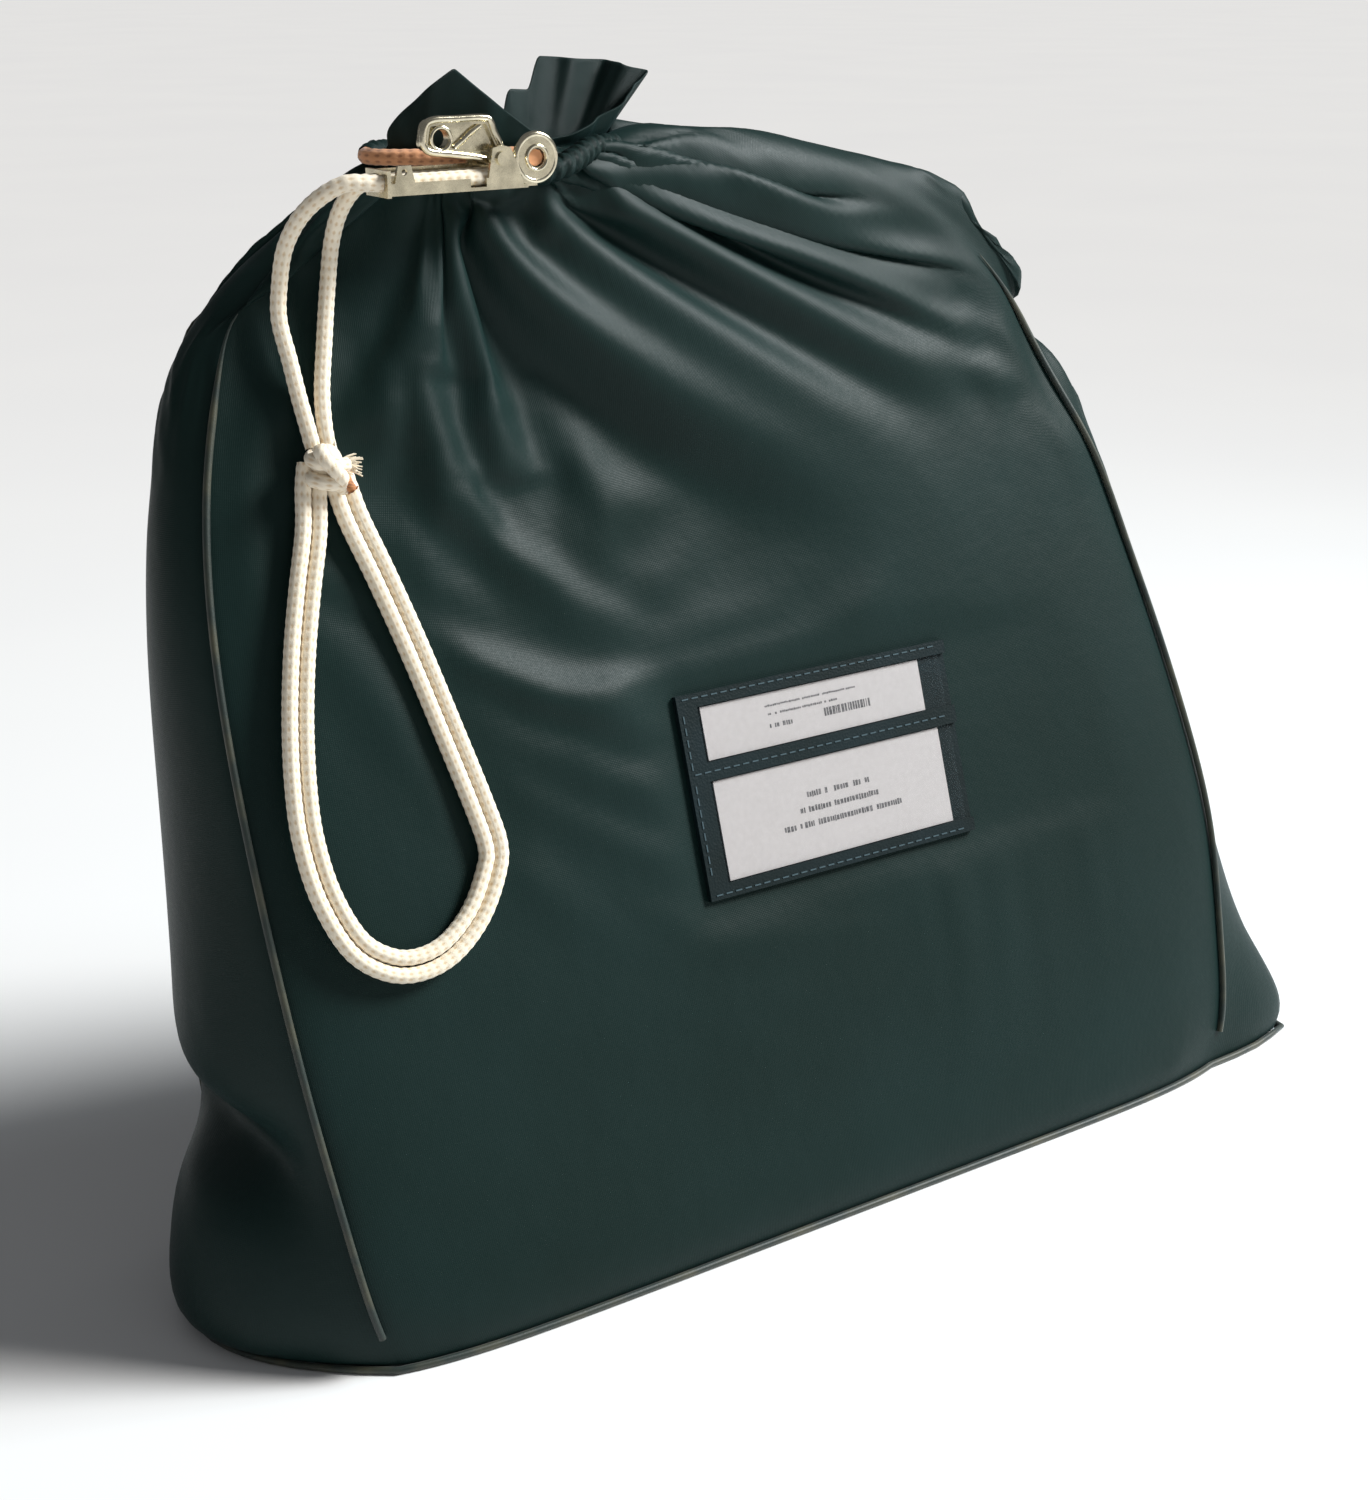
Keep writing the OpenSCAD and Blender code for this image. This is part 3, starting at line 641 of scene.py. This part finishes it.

# %% Braid: clean, frayed and heat-sealed, and a darker orange copy that paints shade on the neck cord
def braid(name, valley_shade, ridge):
    """Braided cotton: light on each yarn's crown, with painted tan shade in the valleys between, and a little
    uneven along the cord.
    """
    material, ns, links, shader = finish(name, ridge, 0.82)
    height = ns.new("ShaderNodeAttribute")
    height.attribute_name = "yarn"
    place = ns.new("ShaderNodeTexCoord")
    fuzz = noise(ns, links, place.outputs["Object"], 1600.0, 2.0)
    soil = noise(ns, links, place.outputs["Object"], 42.0, 3.0)
    # painted shade: the ramp colours the braid's valleys tan and the crowns of its yarns light
    yarn_shading = ramp(ns, links, height.outputs["Fac"], 0.02, 0.42, valley_shade, ridge)
    worn = ns.new("ShaderNodeMix")
    worn.data_type = "RGBA"
    worn.blend_type = "MULTIPLY"
    links.new(spread(ns, links, soil, 0.0, 0.55), worn.inputs[0])
    links.new(yarn_shading, worn.inputs[6])
    worn.inputs[7].default_value = (0.93, 0.84, 0.70, 1)
    links.new(worn.outputs[2], shader.inputs["Base Color"])
    links.new(bump(ns, links, fuzz, 0.0002, 0.5), shader.inputs["Normal"])
    shader.inputs["Sheen Weight"].default_value = 0.3
    shader.inputs["Sheen Roughness"].default_value = 0.6
    return material


clean_braid = braid("cord braid", (0.66, 0.49, 0.29), (0.90, 0.82, 0.68))
frayed_yarn = braid("frayed yarn", (0.86, 0.77, 0.62), (0.90, 0.82, 0.68))
# painted shade: the neck cord is the same cream braid, coloured darker and orange as it looks in the mouth's
# shadow
shaded_neck_braid = braid("neck cord braid, painted shade", (0.30, 0.10, 0.035), (0.72, 0.33, 0.15))
sealed_braid = braid("sealed cord end", (0.16, 0.055, 0.015), (0.50, 0.20, 0.06))
print("braids made")

# %% Plated metal with a warm tint
def plated(name, colour, scuff):
    material, ns, links, shader = finish(name, colour, 0.28, 1.0)
    place = ns.new("ShaderNodeTexCoord")
    patches = noise(ns, links, place.outputs["Object"], 120.0, 4.0)
    fine = noise(ns, links, place.outputs["Object"], 700.0, 3.0)
    tone = tuple(c * 0.62 for c in colour)
    links.new(ramp(ns, links, patches, 0.32, 0.66, tone, colour), shader.inputs["Base Color"])
    links.new(spread(ns, links, fine, scuff[0], scuff[1]), shader.inputs["Roughness"])
    links.new(bump(ns, links, patches, 0.0006, 0.35), shader.inputs["Normal"])
    return material


plate_metal = plated("plated steel", (0.74, 0.67, 0.49), (0.14, 0.38))
rim_metal = plated("worn bright rim", (0.90, 0.82, 0.62), (0.10, 0.26))
print("metals made")

# %% Label finishes
vinyl, ns, links, shader = finish("label vinyl", (0.004, 0.011, 0.015), 0.46)
place = ns.new("ShaderNodeTexCoord")
pebbles = ns.new("ShaderNodeTexVoronoi")
pebbles.inputs["Scale"].default_value = 900.0
links.new(place.outputs["Object"], pebbles.inputs["Vector"])
shade = noise(ns, links, place.outputs["Object"], 30.0)
links.new(ramp(ns, links, shade, 0.35, 0.7, (0.003, 0.0095, 0.0098), (0.005, 0.0145, 0.0175)),
          shader.inputs["Base Color"])
shader.inputs["Specular IOR Level"].default_value = 0.22
links.new(bump(ns, links, pebbles.outputs["Distance"], 0.0002, 0.5), shader.inputs["Normal"])

thread, ns, links, shader = finish("label thread", (0.035, 0.070, 0.085), 0.7)
place = ns.new("ShaderNodeTexCoord")
links.new(bump(ns, links, noise(ns, links, place.outputs["Object"], 2500.0), 0.0002, 0.6),
          shader.inputs["Normal"])

card_paper, ns, links, shader = finish("card stock", (0.80, 0.75, 0.74), 0.8)
place = ns.new("ShaderNodeTexCoord")
fibres = noise(ns, links, place.outputs["Object"], 400.0, 5.0)
links.new(ramp(ns, links, fibres, 0.3, 0.7, (0.66, 0.61, 0.60), (0.71, 0.66, 0.65)),
          shader.inputs["Base Color"])
links.new(bump(ns, links, fibres, 0.0001, 0.3), shader.inputs["Normal"])

ink, ns, links, shader = finish("printed grey", (0.10, 0.095, 0.10), 0.7)
place = ns.new("ShaderNodeTexCoord")
faded = noise(ns, links, place.outputs["Object"], 900.0, 4.0)
links.new(ramp(ns, links, faded, 0.3, 0.75, (0.06, 0.055, 0.06), (0.30, 0.28, 0.28)),
          shader.inputs["Base Color"])

clear_film, ns, links, shader = finish("clear film", (0.05, 0.065, 0.07), 0.12)
place = ns.new("ShaderNodeTexCoord")
ripple = noise(ns, links, place.outputs["Object"], 38.0, 2.0)
links.new(bump(ns, links, ripple, 0.004, 0.25), shader.inputs["Normal"])
shader.inputs["Alpha"].default_value = 0.10
shader.inputs["Coat Weight"].default_value = 0.4
shader.inputs["Coat Roughness"].default_value = 0.05
print("label finishes made")

# %% [markdown]
# ## The sack
# One tube of cloth with its thickness turned inwards. The thickness makes it a closed sheet with a hem at the
# neck and at the base seam, and one level of subdivision rounds the solver's grid. The base panel is a
# separate piece, because it is sewn in round its edge, and it sags a little between its seams.

# %% Sack cloth
CLOTH_T = 0.0009
TUBE_ROUND, TUBE_HIGH = 1.0, 0.60


def lay_out_threads(piece, grid):
    """A UV map in metres of cut cloth: columns along U and rows along V."""
    rows, columns = grid.shape[:2]
    layer = piece.data.uv_layers.new(name="cut")
    for face in piece.data.polygons:
        low, j = divmod(face.index, columns)
        corners = ((j, low), (j + 1, low), (j + 1, low + 1), (j, low + 1))
        for loop, (column, row) in zip(face.loop_indices, corners):
            layer.data[loop].uv = (column / columns * TUBE_ROUND, row / rows * TUBE_HIGH)


def give_thickness(piece, thickness):
    """Thickens a sheet inwards, then rounds its facets with one level of subdivision."""
    wall = piece.modifiers.new("thickness", "SOLIDIFY")
    wall.thickness = thickness
    wall.offset = -1.0
    smooth = piece.modifiers.new("smooth", "SUBSURF")
    smooth.levels = smooth.render_levels = 1


sack_cloth = grid_mesh("sack_cloth", sack_grid)
for face in sack_cloth.data.polygons:
    face.use_smooth = True
lay_out_threads(sack_cloth, sack_grid)
give_thickness(sack_cloth, CLOTH_T)
dress(sack_cloth, "bag", sack_nylon)
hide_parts("front_panel", "back_panel", "left_gusset", "right_gusset")

# %% Base panel
BASE_T = 0.0008
base = bmesh.new()
rim = [base.verts.new(p) for p in sack_grid[0]]
panel_face = base.faces.new(rim)
for share in (0.06, 0.12, 0.22, 0.34, 0.5):
    bmesh.ops.inset_region(base, faces=[panel_face], thickness=0.012 + 0.02 * share, use_even_offset=False)
bmesh.ops.poke(base, faces=[panel_face])
for vertex in base.verts:
    if not vertex.is_boundary:
        wrinkle = math.sin(31 * vertex.co.x + 2) * math.sin(47 * vertex.co.y)
        vertex.co.z = 0.0011 + 0.0005 * wrinkle
bmesh.ops.recalc_face_normals(base, faces=base.faces)
if sum(f.normal.z for f in base.faces) > 0:
    bmesh.ops.reverse_faces(base, faces=base.faces)
base_cloth = piece_from(base, "base_cloth")
give_thickness(base_cloth, BASE_T)
dress(base_cloth, "bag", sack_nylon)
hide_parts("bottom_panel")

# %% [markdown]
# ## Piping
# A cord of cloth is sewn into each corner seam and round the base. It follows the simulated seam, so it is a
# tube on that column of the grid, set outwards by its own radius. It is the only place where the bag shows
# a yellower edge, in patches that are partly the seam's own raw edge and partly painted highlight.

# %% Piping
PIPING_R = 0.0015


def tube(name, points, radius, closed=False, sides=12, fade=0):
    """A smooth tube as a mesh, along points that are close together. Its last points may fade to a tip."""
    curve = bpy.data.curves.new(name, "CURVE")
    curve.dimensions = "3D"
    curve.bevel_depth = radius
    curve.bevel_resolution = sides // 2 - 2
    curve.use_fill_caps = not closed
    spline = curve.splines.new("POLY")
    spline.points.add(len(points) - 1)
    spline.use_cyclic_u = closed
    for k, (point, place) in enumerate(zip(spline.points, points)):
        point.co = (*place, 1)
        if fade:
            point.radius = min(1.0, 0.15 + (len(points) - 1 - k) / fade)
    carrier = bpy.data.objects.new(name + ".curve", curve)
    scene.collection.objects.link(carrier)
    data = bpy.data.meshes.new_from_object(carrier.evaluated_get(bpy.context.evaluated_depsgraph_get()))
    bpy.data.objects.remove(carrier)
    for face in data.polygons:
        face.use_smooth = True
    return link(name, data)


def outward(grid, i, j):
    """The cloth's normal at a point of the grid."""
    along = Vector(grid[i, (j + 1) % grid.shape[1]] - grid[i, j - 1])
    up = Vector(grid[min(i + 1, len(grid) - 1), j] - grid[max(i - 1, 0), j])
    return along.cross(up).normalized()


SEAMS = {"front_left": 0, "front_right": FRONT_COLUMNS, "back_right": FRONT_COLUMNS + GUSSET_COLUMNS,
         "back_left": 2 * FRONT_COLUMNS + GUSSET_COLUMNS}
PIPING_TOP = 0.398
for corner, column in SEAMS.items():
    heights = sack_grid[:, column, 2]
    rows_in = [i for i in range(2, len(heights)) if heights[:i + 1].max() < PIPING_TOP]
    line = [Vector(sack_grid[i, column]) + outward(sack_grid, i, column) * PIPING_R * 0.7 for i in rows_in]
    route, length = smooth_route(line, 0.004)
    piping = tube(corner + "_piping", route, PIPING_R, fade=12)
    dress(piping, "bag", piping_cloth)
    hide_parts(corner + "_welt")
    print(corner, "piping", round(length, 3), "m")

foot = []
for j in range(len(COLUMNS)):
    aside = outward(sack_grid, 0, j)
    aside.z = 0
    place_on_foot = Vector(sack_grid[0, j]) + aside.normalized() * 0.0012
    place_on_foot.z = PIPING_R + 0.0001
    foot.append(place_on_foot)
base_piping = tube("base_piping", foot, PIPING_R, closed=True)
dress(base_piping, "bag", piping_cloth)
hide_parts("base_welt")

# %% [markdown]
# ## The mouth
# Above the cord the cloth opens again into a frill. It isn't even: one lap stands up behind the lock as a
# straight triangle, next to it the hem drops to the cord, and the other side stands open and leans outwards,
# so that its dark inside shows. The hem's height is therefore given at a few angles round the neck and read
# between them, and the pleats grow from the cord upwards.

# %% Mouth frill
FRILL_COLUMNS, FRILL_ROWS = 240, 22
FRILL_FOOT = 0.4435
FRILL_A, FRILL_B = 0.0505, 0.0145
# angle round the neck in degrees from the right, then the hem's height there
HEM = [(0, 0.478), (20, 0.482), (40, 0.4835), (60, 0.485), (63, 0.472), (73, 0.473), (78, 0.455),
       (90, 0.4535), (178, 0.4535), (186, 0.456), (235, 0.484), (286, 0.4545), (300, 0.456), (325, 0.463),
       (345, 0.471), (360, 0.476)]


def hem_height(angle):
    return float(np.interp(angle % 360, [a for a, _ in HEM], [h for _, h in HEM]))


def frill_point(angle, share):
    z = FRILL_FOOT + (hem_height(angle) - FRILL_FOOT) * share
    rise = max(0.0, z - 0.4525)
    turn = math.radians(angle)
    opened = math.exp(-((((angle + 180) % 360) - 190) / 75) ** 2)
    pleat = 0.0007 + 0.07 * rise
    wave = math.sin(13 * turn + 0.7) + 0.55 * math.sin(7 * turn + 2.1) + 0.35 * math.sin(23 * turn)
    lap = math.exp(-((angle - 235) / 34) ** 2)
    out = pleat * wave * (1 - 0.9 * lap) + rise * (0.10 + 0.72 * opened)
    pinch = -0.0012 * math.exp(-((z - 0.451) / 0.003) ** 2)
    x = NECK_AT[0] + (FRILL_A + out + pinch) * math.cos(turn) + 0.10 * rise * lap
    y = NECK_AT[1] + (FRILL_B + 0.7 * out + pinch) * math.sin(turn) - 0.12 * rise * lap
    return x, y, z


frill_grid = np.array([[frill_point(360 * j / FRILL_COLUMNS, i / FRILL_ROWS) for j in range(FRILL_COLUMNS)]
                       for i in range(FRILL_ROWS + 1)])
frill_cloth = grid_mesh("frill_cloth", frill_grid)
for face in frill_cloth.data.polygons:
    face.use_smooth = True
lay_out_threads(frill_cloth, frill_grid)
give_thickness(frill_cloth, CLOTH_T)
dress(frill_cloth, "bag", sack_nylon)
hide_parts("mouth_frill")

# %% [markdown]
# ## Neck cord, lane cords and knot
# The same braid goes on through the lock and round the neck. Round the neck it is a darker warm orange, which
# is painted shade: the cream cord as it lies in the shadow of the mouth.
# Where the ends come together they are tied: the knot is the cord's own braid wound round the bundle, with
# one frayed end and one end that was sealed with heat.

# %% Cord round the neck and in the lock
LANE_END = LOCK + Vector((0.0616, REAR_LANE_Y, LANE_Z))
EYE = LOCK + Vector((0.0686, 0.0061, 0.0105))
NOOSE_A, NOOSE_B, NOOSE_AT = 0.057275, 0.021275, 0.451


def on_noose(angle):
    """The point of the noose at an angle round the neck, in degrees."""
    turn = math.radians(angle)
    return Vector((NECK_AT[0] + NOOSE_A * math.cos(turn), NECK_AT[1] + NOOSE_B * math.sin(turn), NOOSE_AT))


neck_route = [LANE_END + Vector(p) for p in ((0, 0, 0), (0.007, 0, -0.0008), (0.015, 0.0006, -0.0004),
                                             (0.027, 0.003, 0.002))]
for angle in range(-52, 237, 18):
    neck_route.append(on_noose(angle))
neck_route += [(-0.118, 0.0364, 0.451), (-0.109, 0.0356, 0.451), (-0.103, 0.0335, 0.4508),
               (-0.1002, 0.030, 0.4506), EYE + Vector((0, 0.0034, 0)), EYE]
neck_cord, neck_path, neck_length = braided("neck_cord_braid", neck_route)
dress(neck_cord, "bag", shaded_neck_braid)
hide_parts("neck_cord")


# %% Casing that the neck cord runs in
CASING_R = 0.0046


def nearest_on_neck(angle):
    """The index of the neck cord's point that is nearest to an angle round the neck."""
    return min(range(len(neck_path)), key=lambda k: (neck_path[k] - on_noose(angle)).length)


CASING_STRETCHES = {"front_casing": (round(0.009 / PATH_STEP), nearest_on_neck(-9)),
                    "back_casing": (nearest_on_neck(26), nearest_on_neck(166))}
for name, (first, last) in CASING_STRETCHES.items():
    line = neck_path[first:last]
    casing = tube(name, line, CASING_R, sides=20)
    around = len(casing.data.vertices) // len(line)
    for i, vertex in enumerate(casing.data.vertices):
        ring = min(i // around, len(line) - 1)
        end = min(ring, len(line) - 1 - ring) * PATH_STEP
        ruck = 1 + 0.10 * math.sin(ring * PATH_STEP * 1150) \
            + 0.05 * math.sin(ring * PATH_STEP * 2700 + 1.3 * (i % around))
        close = 0.76 + 0.24 * min(1, end / 0.004)
        vertex.co = line[ring] + (vertex.co - line[ring]) * ruck * close
    dress(casing, "bag", sack_nylon)
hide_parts("drawcord_casing")

# %% Cord in the lock's two lanes
front_lane, _, _ = braided("front_lane_braid", [
    LOCK + Vector((x, FRONT_LANE_Y, LANE_Z)) for x in (0, 0.017, 0.034, 0.051)])
rear_lane, _, _ = braided("rear_lane_braid", [
    LOCK + Vector((x, REAR_LANE_Y, LANE_Z)) for x in (0, 0.0205, 0.041, 0.0616)])
for lane_piece, node_name in ((front_lane, "tray_cord_front"), (rear_lane, "tray_cord_rear")):
    dress(lane_piece, "bag", clean_braid)
    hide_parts(node_name)
print("neck cord is", round(neck_length, 3), "m long")

# %% Knot
WRAP_A, WRAP_B, WRAP_R = 0.0068, 0.0048, 0.0029
wrap_route = []
for k in range(34):
    turn = 2 * math.pi * (0.12 + 1.75 * k / 33)
    wrap_route.append(KNOT_AT + Vector((WRAP_A * math.cos(turn) - 0.0009 * (k / 33 - 0.5),
                                        WRAP_B * math.sin(turn) - 0.001, 0.0062 - 0.0125 * k / 33)))
knot_wrap, _, _ = braided("knot_wrap_braid", wrap_route, radius=WRAP_R, step=0.0006)
cross_wrap, _, _ = braided("knot_cross_braid", [KNOT_AT + Vector(p) for p in (
    (-0.0045, -0.003, 0.0085), (-0.004, -0.0062, 0.0045), (-0.0005, -0.0082, 0.0),
    (0.003, -0.0066, -0.0045), (0.0042, -0.0035, -0.0085))], radius=WRAP_R, step=0.0006)
heart = bmesh.new()
bmesh.ops.create_icosphere(heart, subdivisions=4, radius=1.0)
bmesh.ops.scale(heart, vec=(0.0066, 0.0048, 0.0088), verts=heart.verts)
bmesh.ops.translate(heart, vec=KNOT_AT, verts=heart.verts)
knot_heart = piece_from(heart, "knot_heart")
for piece in (knot_wrap, cross_wrap):
    dress(piece, "bag", clean_braid)
dress(knot_heart, "bag", frayed_yarn)
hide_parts("carry_knot")

sealed_tip, _, _ = braided("sealed_tip_braid", [
    (-0.1942, 0.0145, 0.3385), (-0.1930, 0.0125, 0.3365), (-0.1918, 0.0115, 0.3345),
    (-0.1905, 0.0110, 0.3325)], radius=0.0025, step=0.0005, swell=lambda t: 1.0 - 0.35 * t ** 3)
dress(sealed_tip, "bag", sealed_braid)
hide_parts("sealed_end")

FRAY_FROM = Vector((-0.1925, 0.0165, 0.3415))
FRAY_YARNS = 44
tuft = bmesh.new()
for k in range(FRAY_YARNS):
    spin = random.uniform(0, 2 * math.pi)
    ring_r = 0.0018 * math.sqrt(random.random())
    start = FRAY_FROM + Vector((0, ring_r * math.cos(spin), ring_r * math.sin(spin)))
    lean = Vector((0.0062 + random.uniform(-0.002, 0.0018), -0.0015 + 1.1 * ring_r * math.cos(spin),
                   -0.0005 + 1.5 * ring_r * math.sin(spin) + random.uniform(-0.0012, 0.0012)))
    yarn_route, _ = smooth_route([start, start + lean * 0.5 + Vector((0, 0, 0.0004)), start + lean], 0.0007)
    yarn = tube("yarn", yarn_route, 0.00028, sides=6)
    tuft.from_mesh(yarn.data)
    bpy.data.objects.remove(yarn)
frayed_tuft = piece_from(tuft, "frayed_tuft")
dress(frayed_tuft, "bag", frayed_yarn)
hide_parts("frayed_end")
print("knot tied")

for cord_piece, node_name, cord_path, cord_length in (
        (left_strand, "left_strand", left_path, left_length),
        (right_strand, "right_strand", right_path, right_length),
        (outer_loop, "outer_loop", outer_path, outer_length),
        (inner_loop, "inner_loop", inner_path, inner_length)):
    dress(cord_piece, "bag", clean_braid)
    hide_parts(node_name)

# %% [markdown]
# ## The lock
# The tray, eye, rivet and lever are pressed and plated steel. They keep their shapes from the measured
# model. The lever's edge is rolled over a wire, though, and that bright round rim is what one sees first, so
# a tube runs round the lever's outline and turns with it.

# %% Metal of the lock
for node_name in ("lock_tray", "end_ferrule", "noose_eye", "anchor_rivet", "lever_pin", "cam_lever"):
    data = nodes[node_name].data
    data.materials.clear()
    data.materials.append(plate_metal)

def circle_route(middle, radius, count):
    """Points of an upright circle that faces the front."""
    turns = [2 * math.pi * k / count for k in range(count)]
    return [middle + Vector((radius * math.cos(turn), 0, radius * math.sin(turn))) for turn in turns]


LEVER_Y = 0.0052
SEAL_HOLE_AT = LOCK + Vector((0.0265, LEVER_Y, 0.0195))
lever_line = [(0.0185, 0.0178), (0.0196, 0.0242), (0.0232, 0.0265), (0.032, 0.0266), (0.0456, 0.0265),
              (0.0485, 0.0246), (0.0496, 0.0215), (0.0528, 0.0152), (0.0524, 0.0122), (0.0495, 0.0104),
              (0.0456, 0.0110), (0.0405, 0.0122), (0.031, 0.0136), (0.0215, 0.0150)]
rim_points = [LOCK + Vector((x, LEVER_Y, z)) for x, z in lever_line]
rim_route, _ = smooth_route(rim_points + [rim_points[0]], PATH_STEP)
lever_rim = tube("lever_rim", rim_route[:-1], 0.0014, closed=True, sides=14)
dress(lever_rim, "lever", rim_metal)

seal_rim = tube("seal_hole_rim", circle_route(SEAL_HOLE_AT, 0.0043, 40), 0.0008, closed=True)
dress(seal_rim, "lever", rim_metal)

rib_route, _ = smooth_route([LOCK + Vector(p) for p in (
    (0.0325, 0.0064, 0.0160), (0.0360, 0.0060, 0.0185), (0.0400, 0.0060, 0.0215),
    (0.0440, 0.0063, 0.0238))], 0.0006)
lever_rib = tube("lever_rib", rib_route, 0.0013, sides=14)
dress(lever_rib, "lever", rim_metal)

eye_rim = tube("eye_rolled_edge", circle_route(EYE, 0.0088, 48), 0.0014, closed=True, sides=14)
dress(eye_rim, "bag", rim_metal)
eye_grommet = tube("eye_inner_rim", circle_route(EYE + Vector((0, -0.0013, 0)), 0.0046, 36), 0.0007,
                   closed=True)
dress(eye_grommet, "bag", rim_metal)
print("lock dressed")

# %% [markdown]
# ## The label holder
# Two clear windows in a sewn vinyl frame, with a card in each. The cards' print is only grey lines and bars:
# it has no letters. The print rides with its card, because the cards slide out to the right.

# %% Materials of the label
for node_name, material in (("label_backing", vinyl), ("label_binding", vinyl), ("label_stitching", thread),
                            ("upper_card", card_paper), ("lower_card", card_paper),
                            ("upper_window", clear_film), ("lower_window", clear_film)):
    data = nodes[node_name].data
    data.materials.clear()
    data.materials.append(material)

# %% Print on the cards
CARD_TOP = 0.0001 + 0.0006 + 0.0003 + 0.0004
UPPER_MIDDLE, LOWER_MIDDLE = 0.026, -0.016
FACE_UP = Vector((0, FRONT_SLOPE, 1)) / FACE_TILT
LABEL_ORIGIN = Vector((LABEL_X, front_y(LABEL_Z), LABEL_Z))


def on_label(x, y, off):
    return LABEL_ORIGIN + Vector((1, 0, 0)) * x + FACE_UP * y + FACE_NORMAL * off


def printed(name, body, bars):
    """Flat bars on a card: each is its middle x and y on the label, its width and its height."""
    print_mesh = bmesh.new()
    for x, y, w, h in bars:
        made = bmesh.ops.create_cube(print_mesh, size=1.0)["verts"]
        bmesh.ops.scale(print_mesh, vec=(w, h, 0.00006), verts=made)
        turn = Matrix((Vector((1, 0, 0)), FACE_UP, FACE_NORMAL)).transposed()
        bmesh.ops.transform(print_mesh, matrix=turn.to_4x4(), verts=made)
        bmesh.ops.translate(print_mesh, vec=on_label(x, y, CARD_TOP + 0.00003), verts=made)
    piece = piece_from(print_mesh, name, smooth=False)
    return dress(piece, body, ink)


def word_line(middle, y, width, height, letter=0.0017):
    """A line of print without letters: short dashes of uneven width, with a gap now and then."""
    bars, x = [], middle - width / 2
    while x < middle + width / 2:
        w = letter * random.uniform(0.5, 1.1)
        if random.random() > 0.14:
            shift = random.uniform(-0.00012, 0.00012)
            bars.append((x + w / 2, y + shift, w * 0.8, height * random.uniform(0.75, 1)))
        x += w * 1.12
    return bars


top_print = word_line(-0.0040, UPPER_MIDDLE + 0.0058, 0.050, 0.0009, 0.0012)
top_print += word_line(-0.0090, UPPER_MIDDLE + 0.0022, 0.038, 0.0010, 0.0012)
top_print += word_line(-0.0215, UPPER_MIDDLE - 0.0030, 0.013, 0.0020)
code_x = 0.002
while code_x < 0.027:
    bar_w = random.choice((0.0004, 0.0006, 0.0010, 0.0014))
    top_print.append((code_x + bar_w / 2, UPPER_MIDDLE - 0.0022, bar_w, 0.0036))
    code_x += bar_w + random.choice((0.0004, 0.0005, 0.0008))
printed("upper_print", "upper_insert", top_print)
bottom_print = word_line(0.0020, LOWER_MIDDLE + 0.0062, 0.034, 0.0027)
bottom_print += word_line(0.0020, LOWER_MIDDLE - 0.0002, 0.044, 0.0027)
bottom_print += word_line(0.0020, LOWER_MIDDLE - 0.0066, 0.066, 0.0027)
printed("lower_print", "lower_insert", bottom_print)
print("cards printed with", len(top_print) + len(bottom_print), "marks")

# %% [markdown]
# ## Floor and light
# A pale floor that runs out of sight, one large soft key from the upper right in front, and a dim even sky.
# The key is a sun with a wide angle, because it lights the whole floor evenly, and a small panel beside
# it adds the blue grey sheen on the shoulder. Behind the floor the camera sees plain white, which lights
# nothing.

# %% Floor
floor_mesh = bmesh.new()
bmesh.ops.create_grid(floor_mesh, x_segments=8, y_segments=8, size=40.0)
floor = piece_from(floor_mesh, "floor", smooth=False)
floor_paint, ns, links, shader = finish("floor paper", (0.86, 0.86, 0.86), 0.9)
place = ns.new("ShaderNodeTexCoord")
links.new(ramp(ns, links, noise(ns, links, place.outputs["Object"], 2.0), 0.3, 0.7, (0.905, 0.905, 0.91),
               (0.925, 0.925, 0.925)), shader.inputs["Base Color"])
floor.data.materials.append(floor_paint)

# %% Lights
def light(name, kind, energy, place_, target, size=1.0, colour=(1, 1, 1)):
    data = bpy.data.lights.new(name, kind)
    data.energy = energy
    data.color = colour
    if kind == "AREA":
        data.size = size
    else:
        data.angle = size
    lamp = bpy.data.objects.new(name, data)
    scene.collection.objects.link(lamp)
    lamp.location = place_
    lamp.rotation_euler = (Vector(target) - Vector(place_)).to_track_quat("-Z", "Y").to_euler()
    return lamp


light("key sun", "SUN", 3.8, (1.25, -0.66, 1.3), (0, 0, 0.2), math.radians(18), (1.0, 0.985, 0.96))
light("sheen panel", "AREA", 11, (0.80, -0.35, 1.10), (0.08, 0.03, 0.36), 0.45, (0.80, 0.93, 1.0))
world = bpy.data.worlds.new("studio air")
scene.world = world
world.use_nodes = True
air = world.node_tree.nodes
air["Background"].inputs[0].default_value = (0.95, 0.97, 1.0, 1)
air["Background"].inputs[1].default_value = 0.14
backdrop = air.new("ShaderNodeBackground")
backdrop.inputs[0].default_value = (1.0, 1.0, 1.0, 1)
backdrop.inputs[1].default_value = 1.0
rays = air.new("ShaderNodeLightPath")
either = air.new("ShaderNodeMixShader")
world.node_tree.links.new(rays.outputs["Is Camera Ray"], either.inputs[0])
world.node_tree.links.new(air["Background"].outputs[0], either.inputs[1])
world.node_tree.links.new(backdrop.outputs[0], either.inputs[2])
world.node_tree.links.new(either.outputs[0], air["World Output"].inputs["Surface"])
scene.view_settings.view_transform = "Standard"
print("lit")
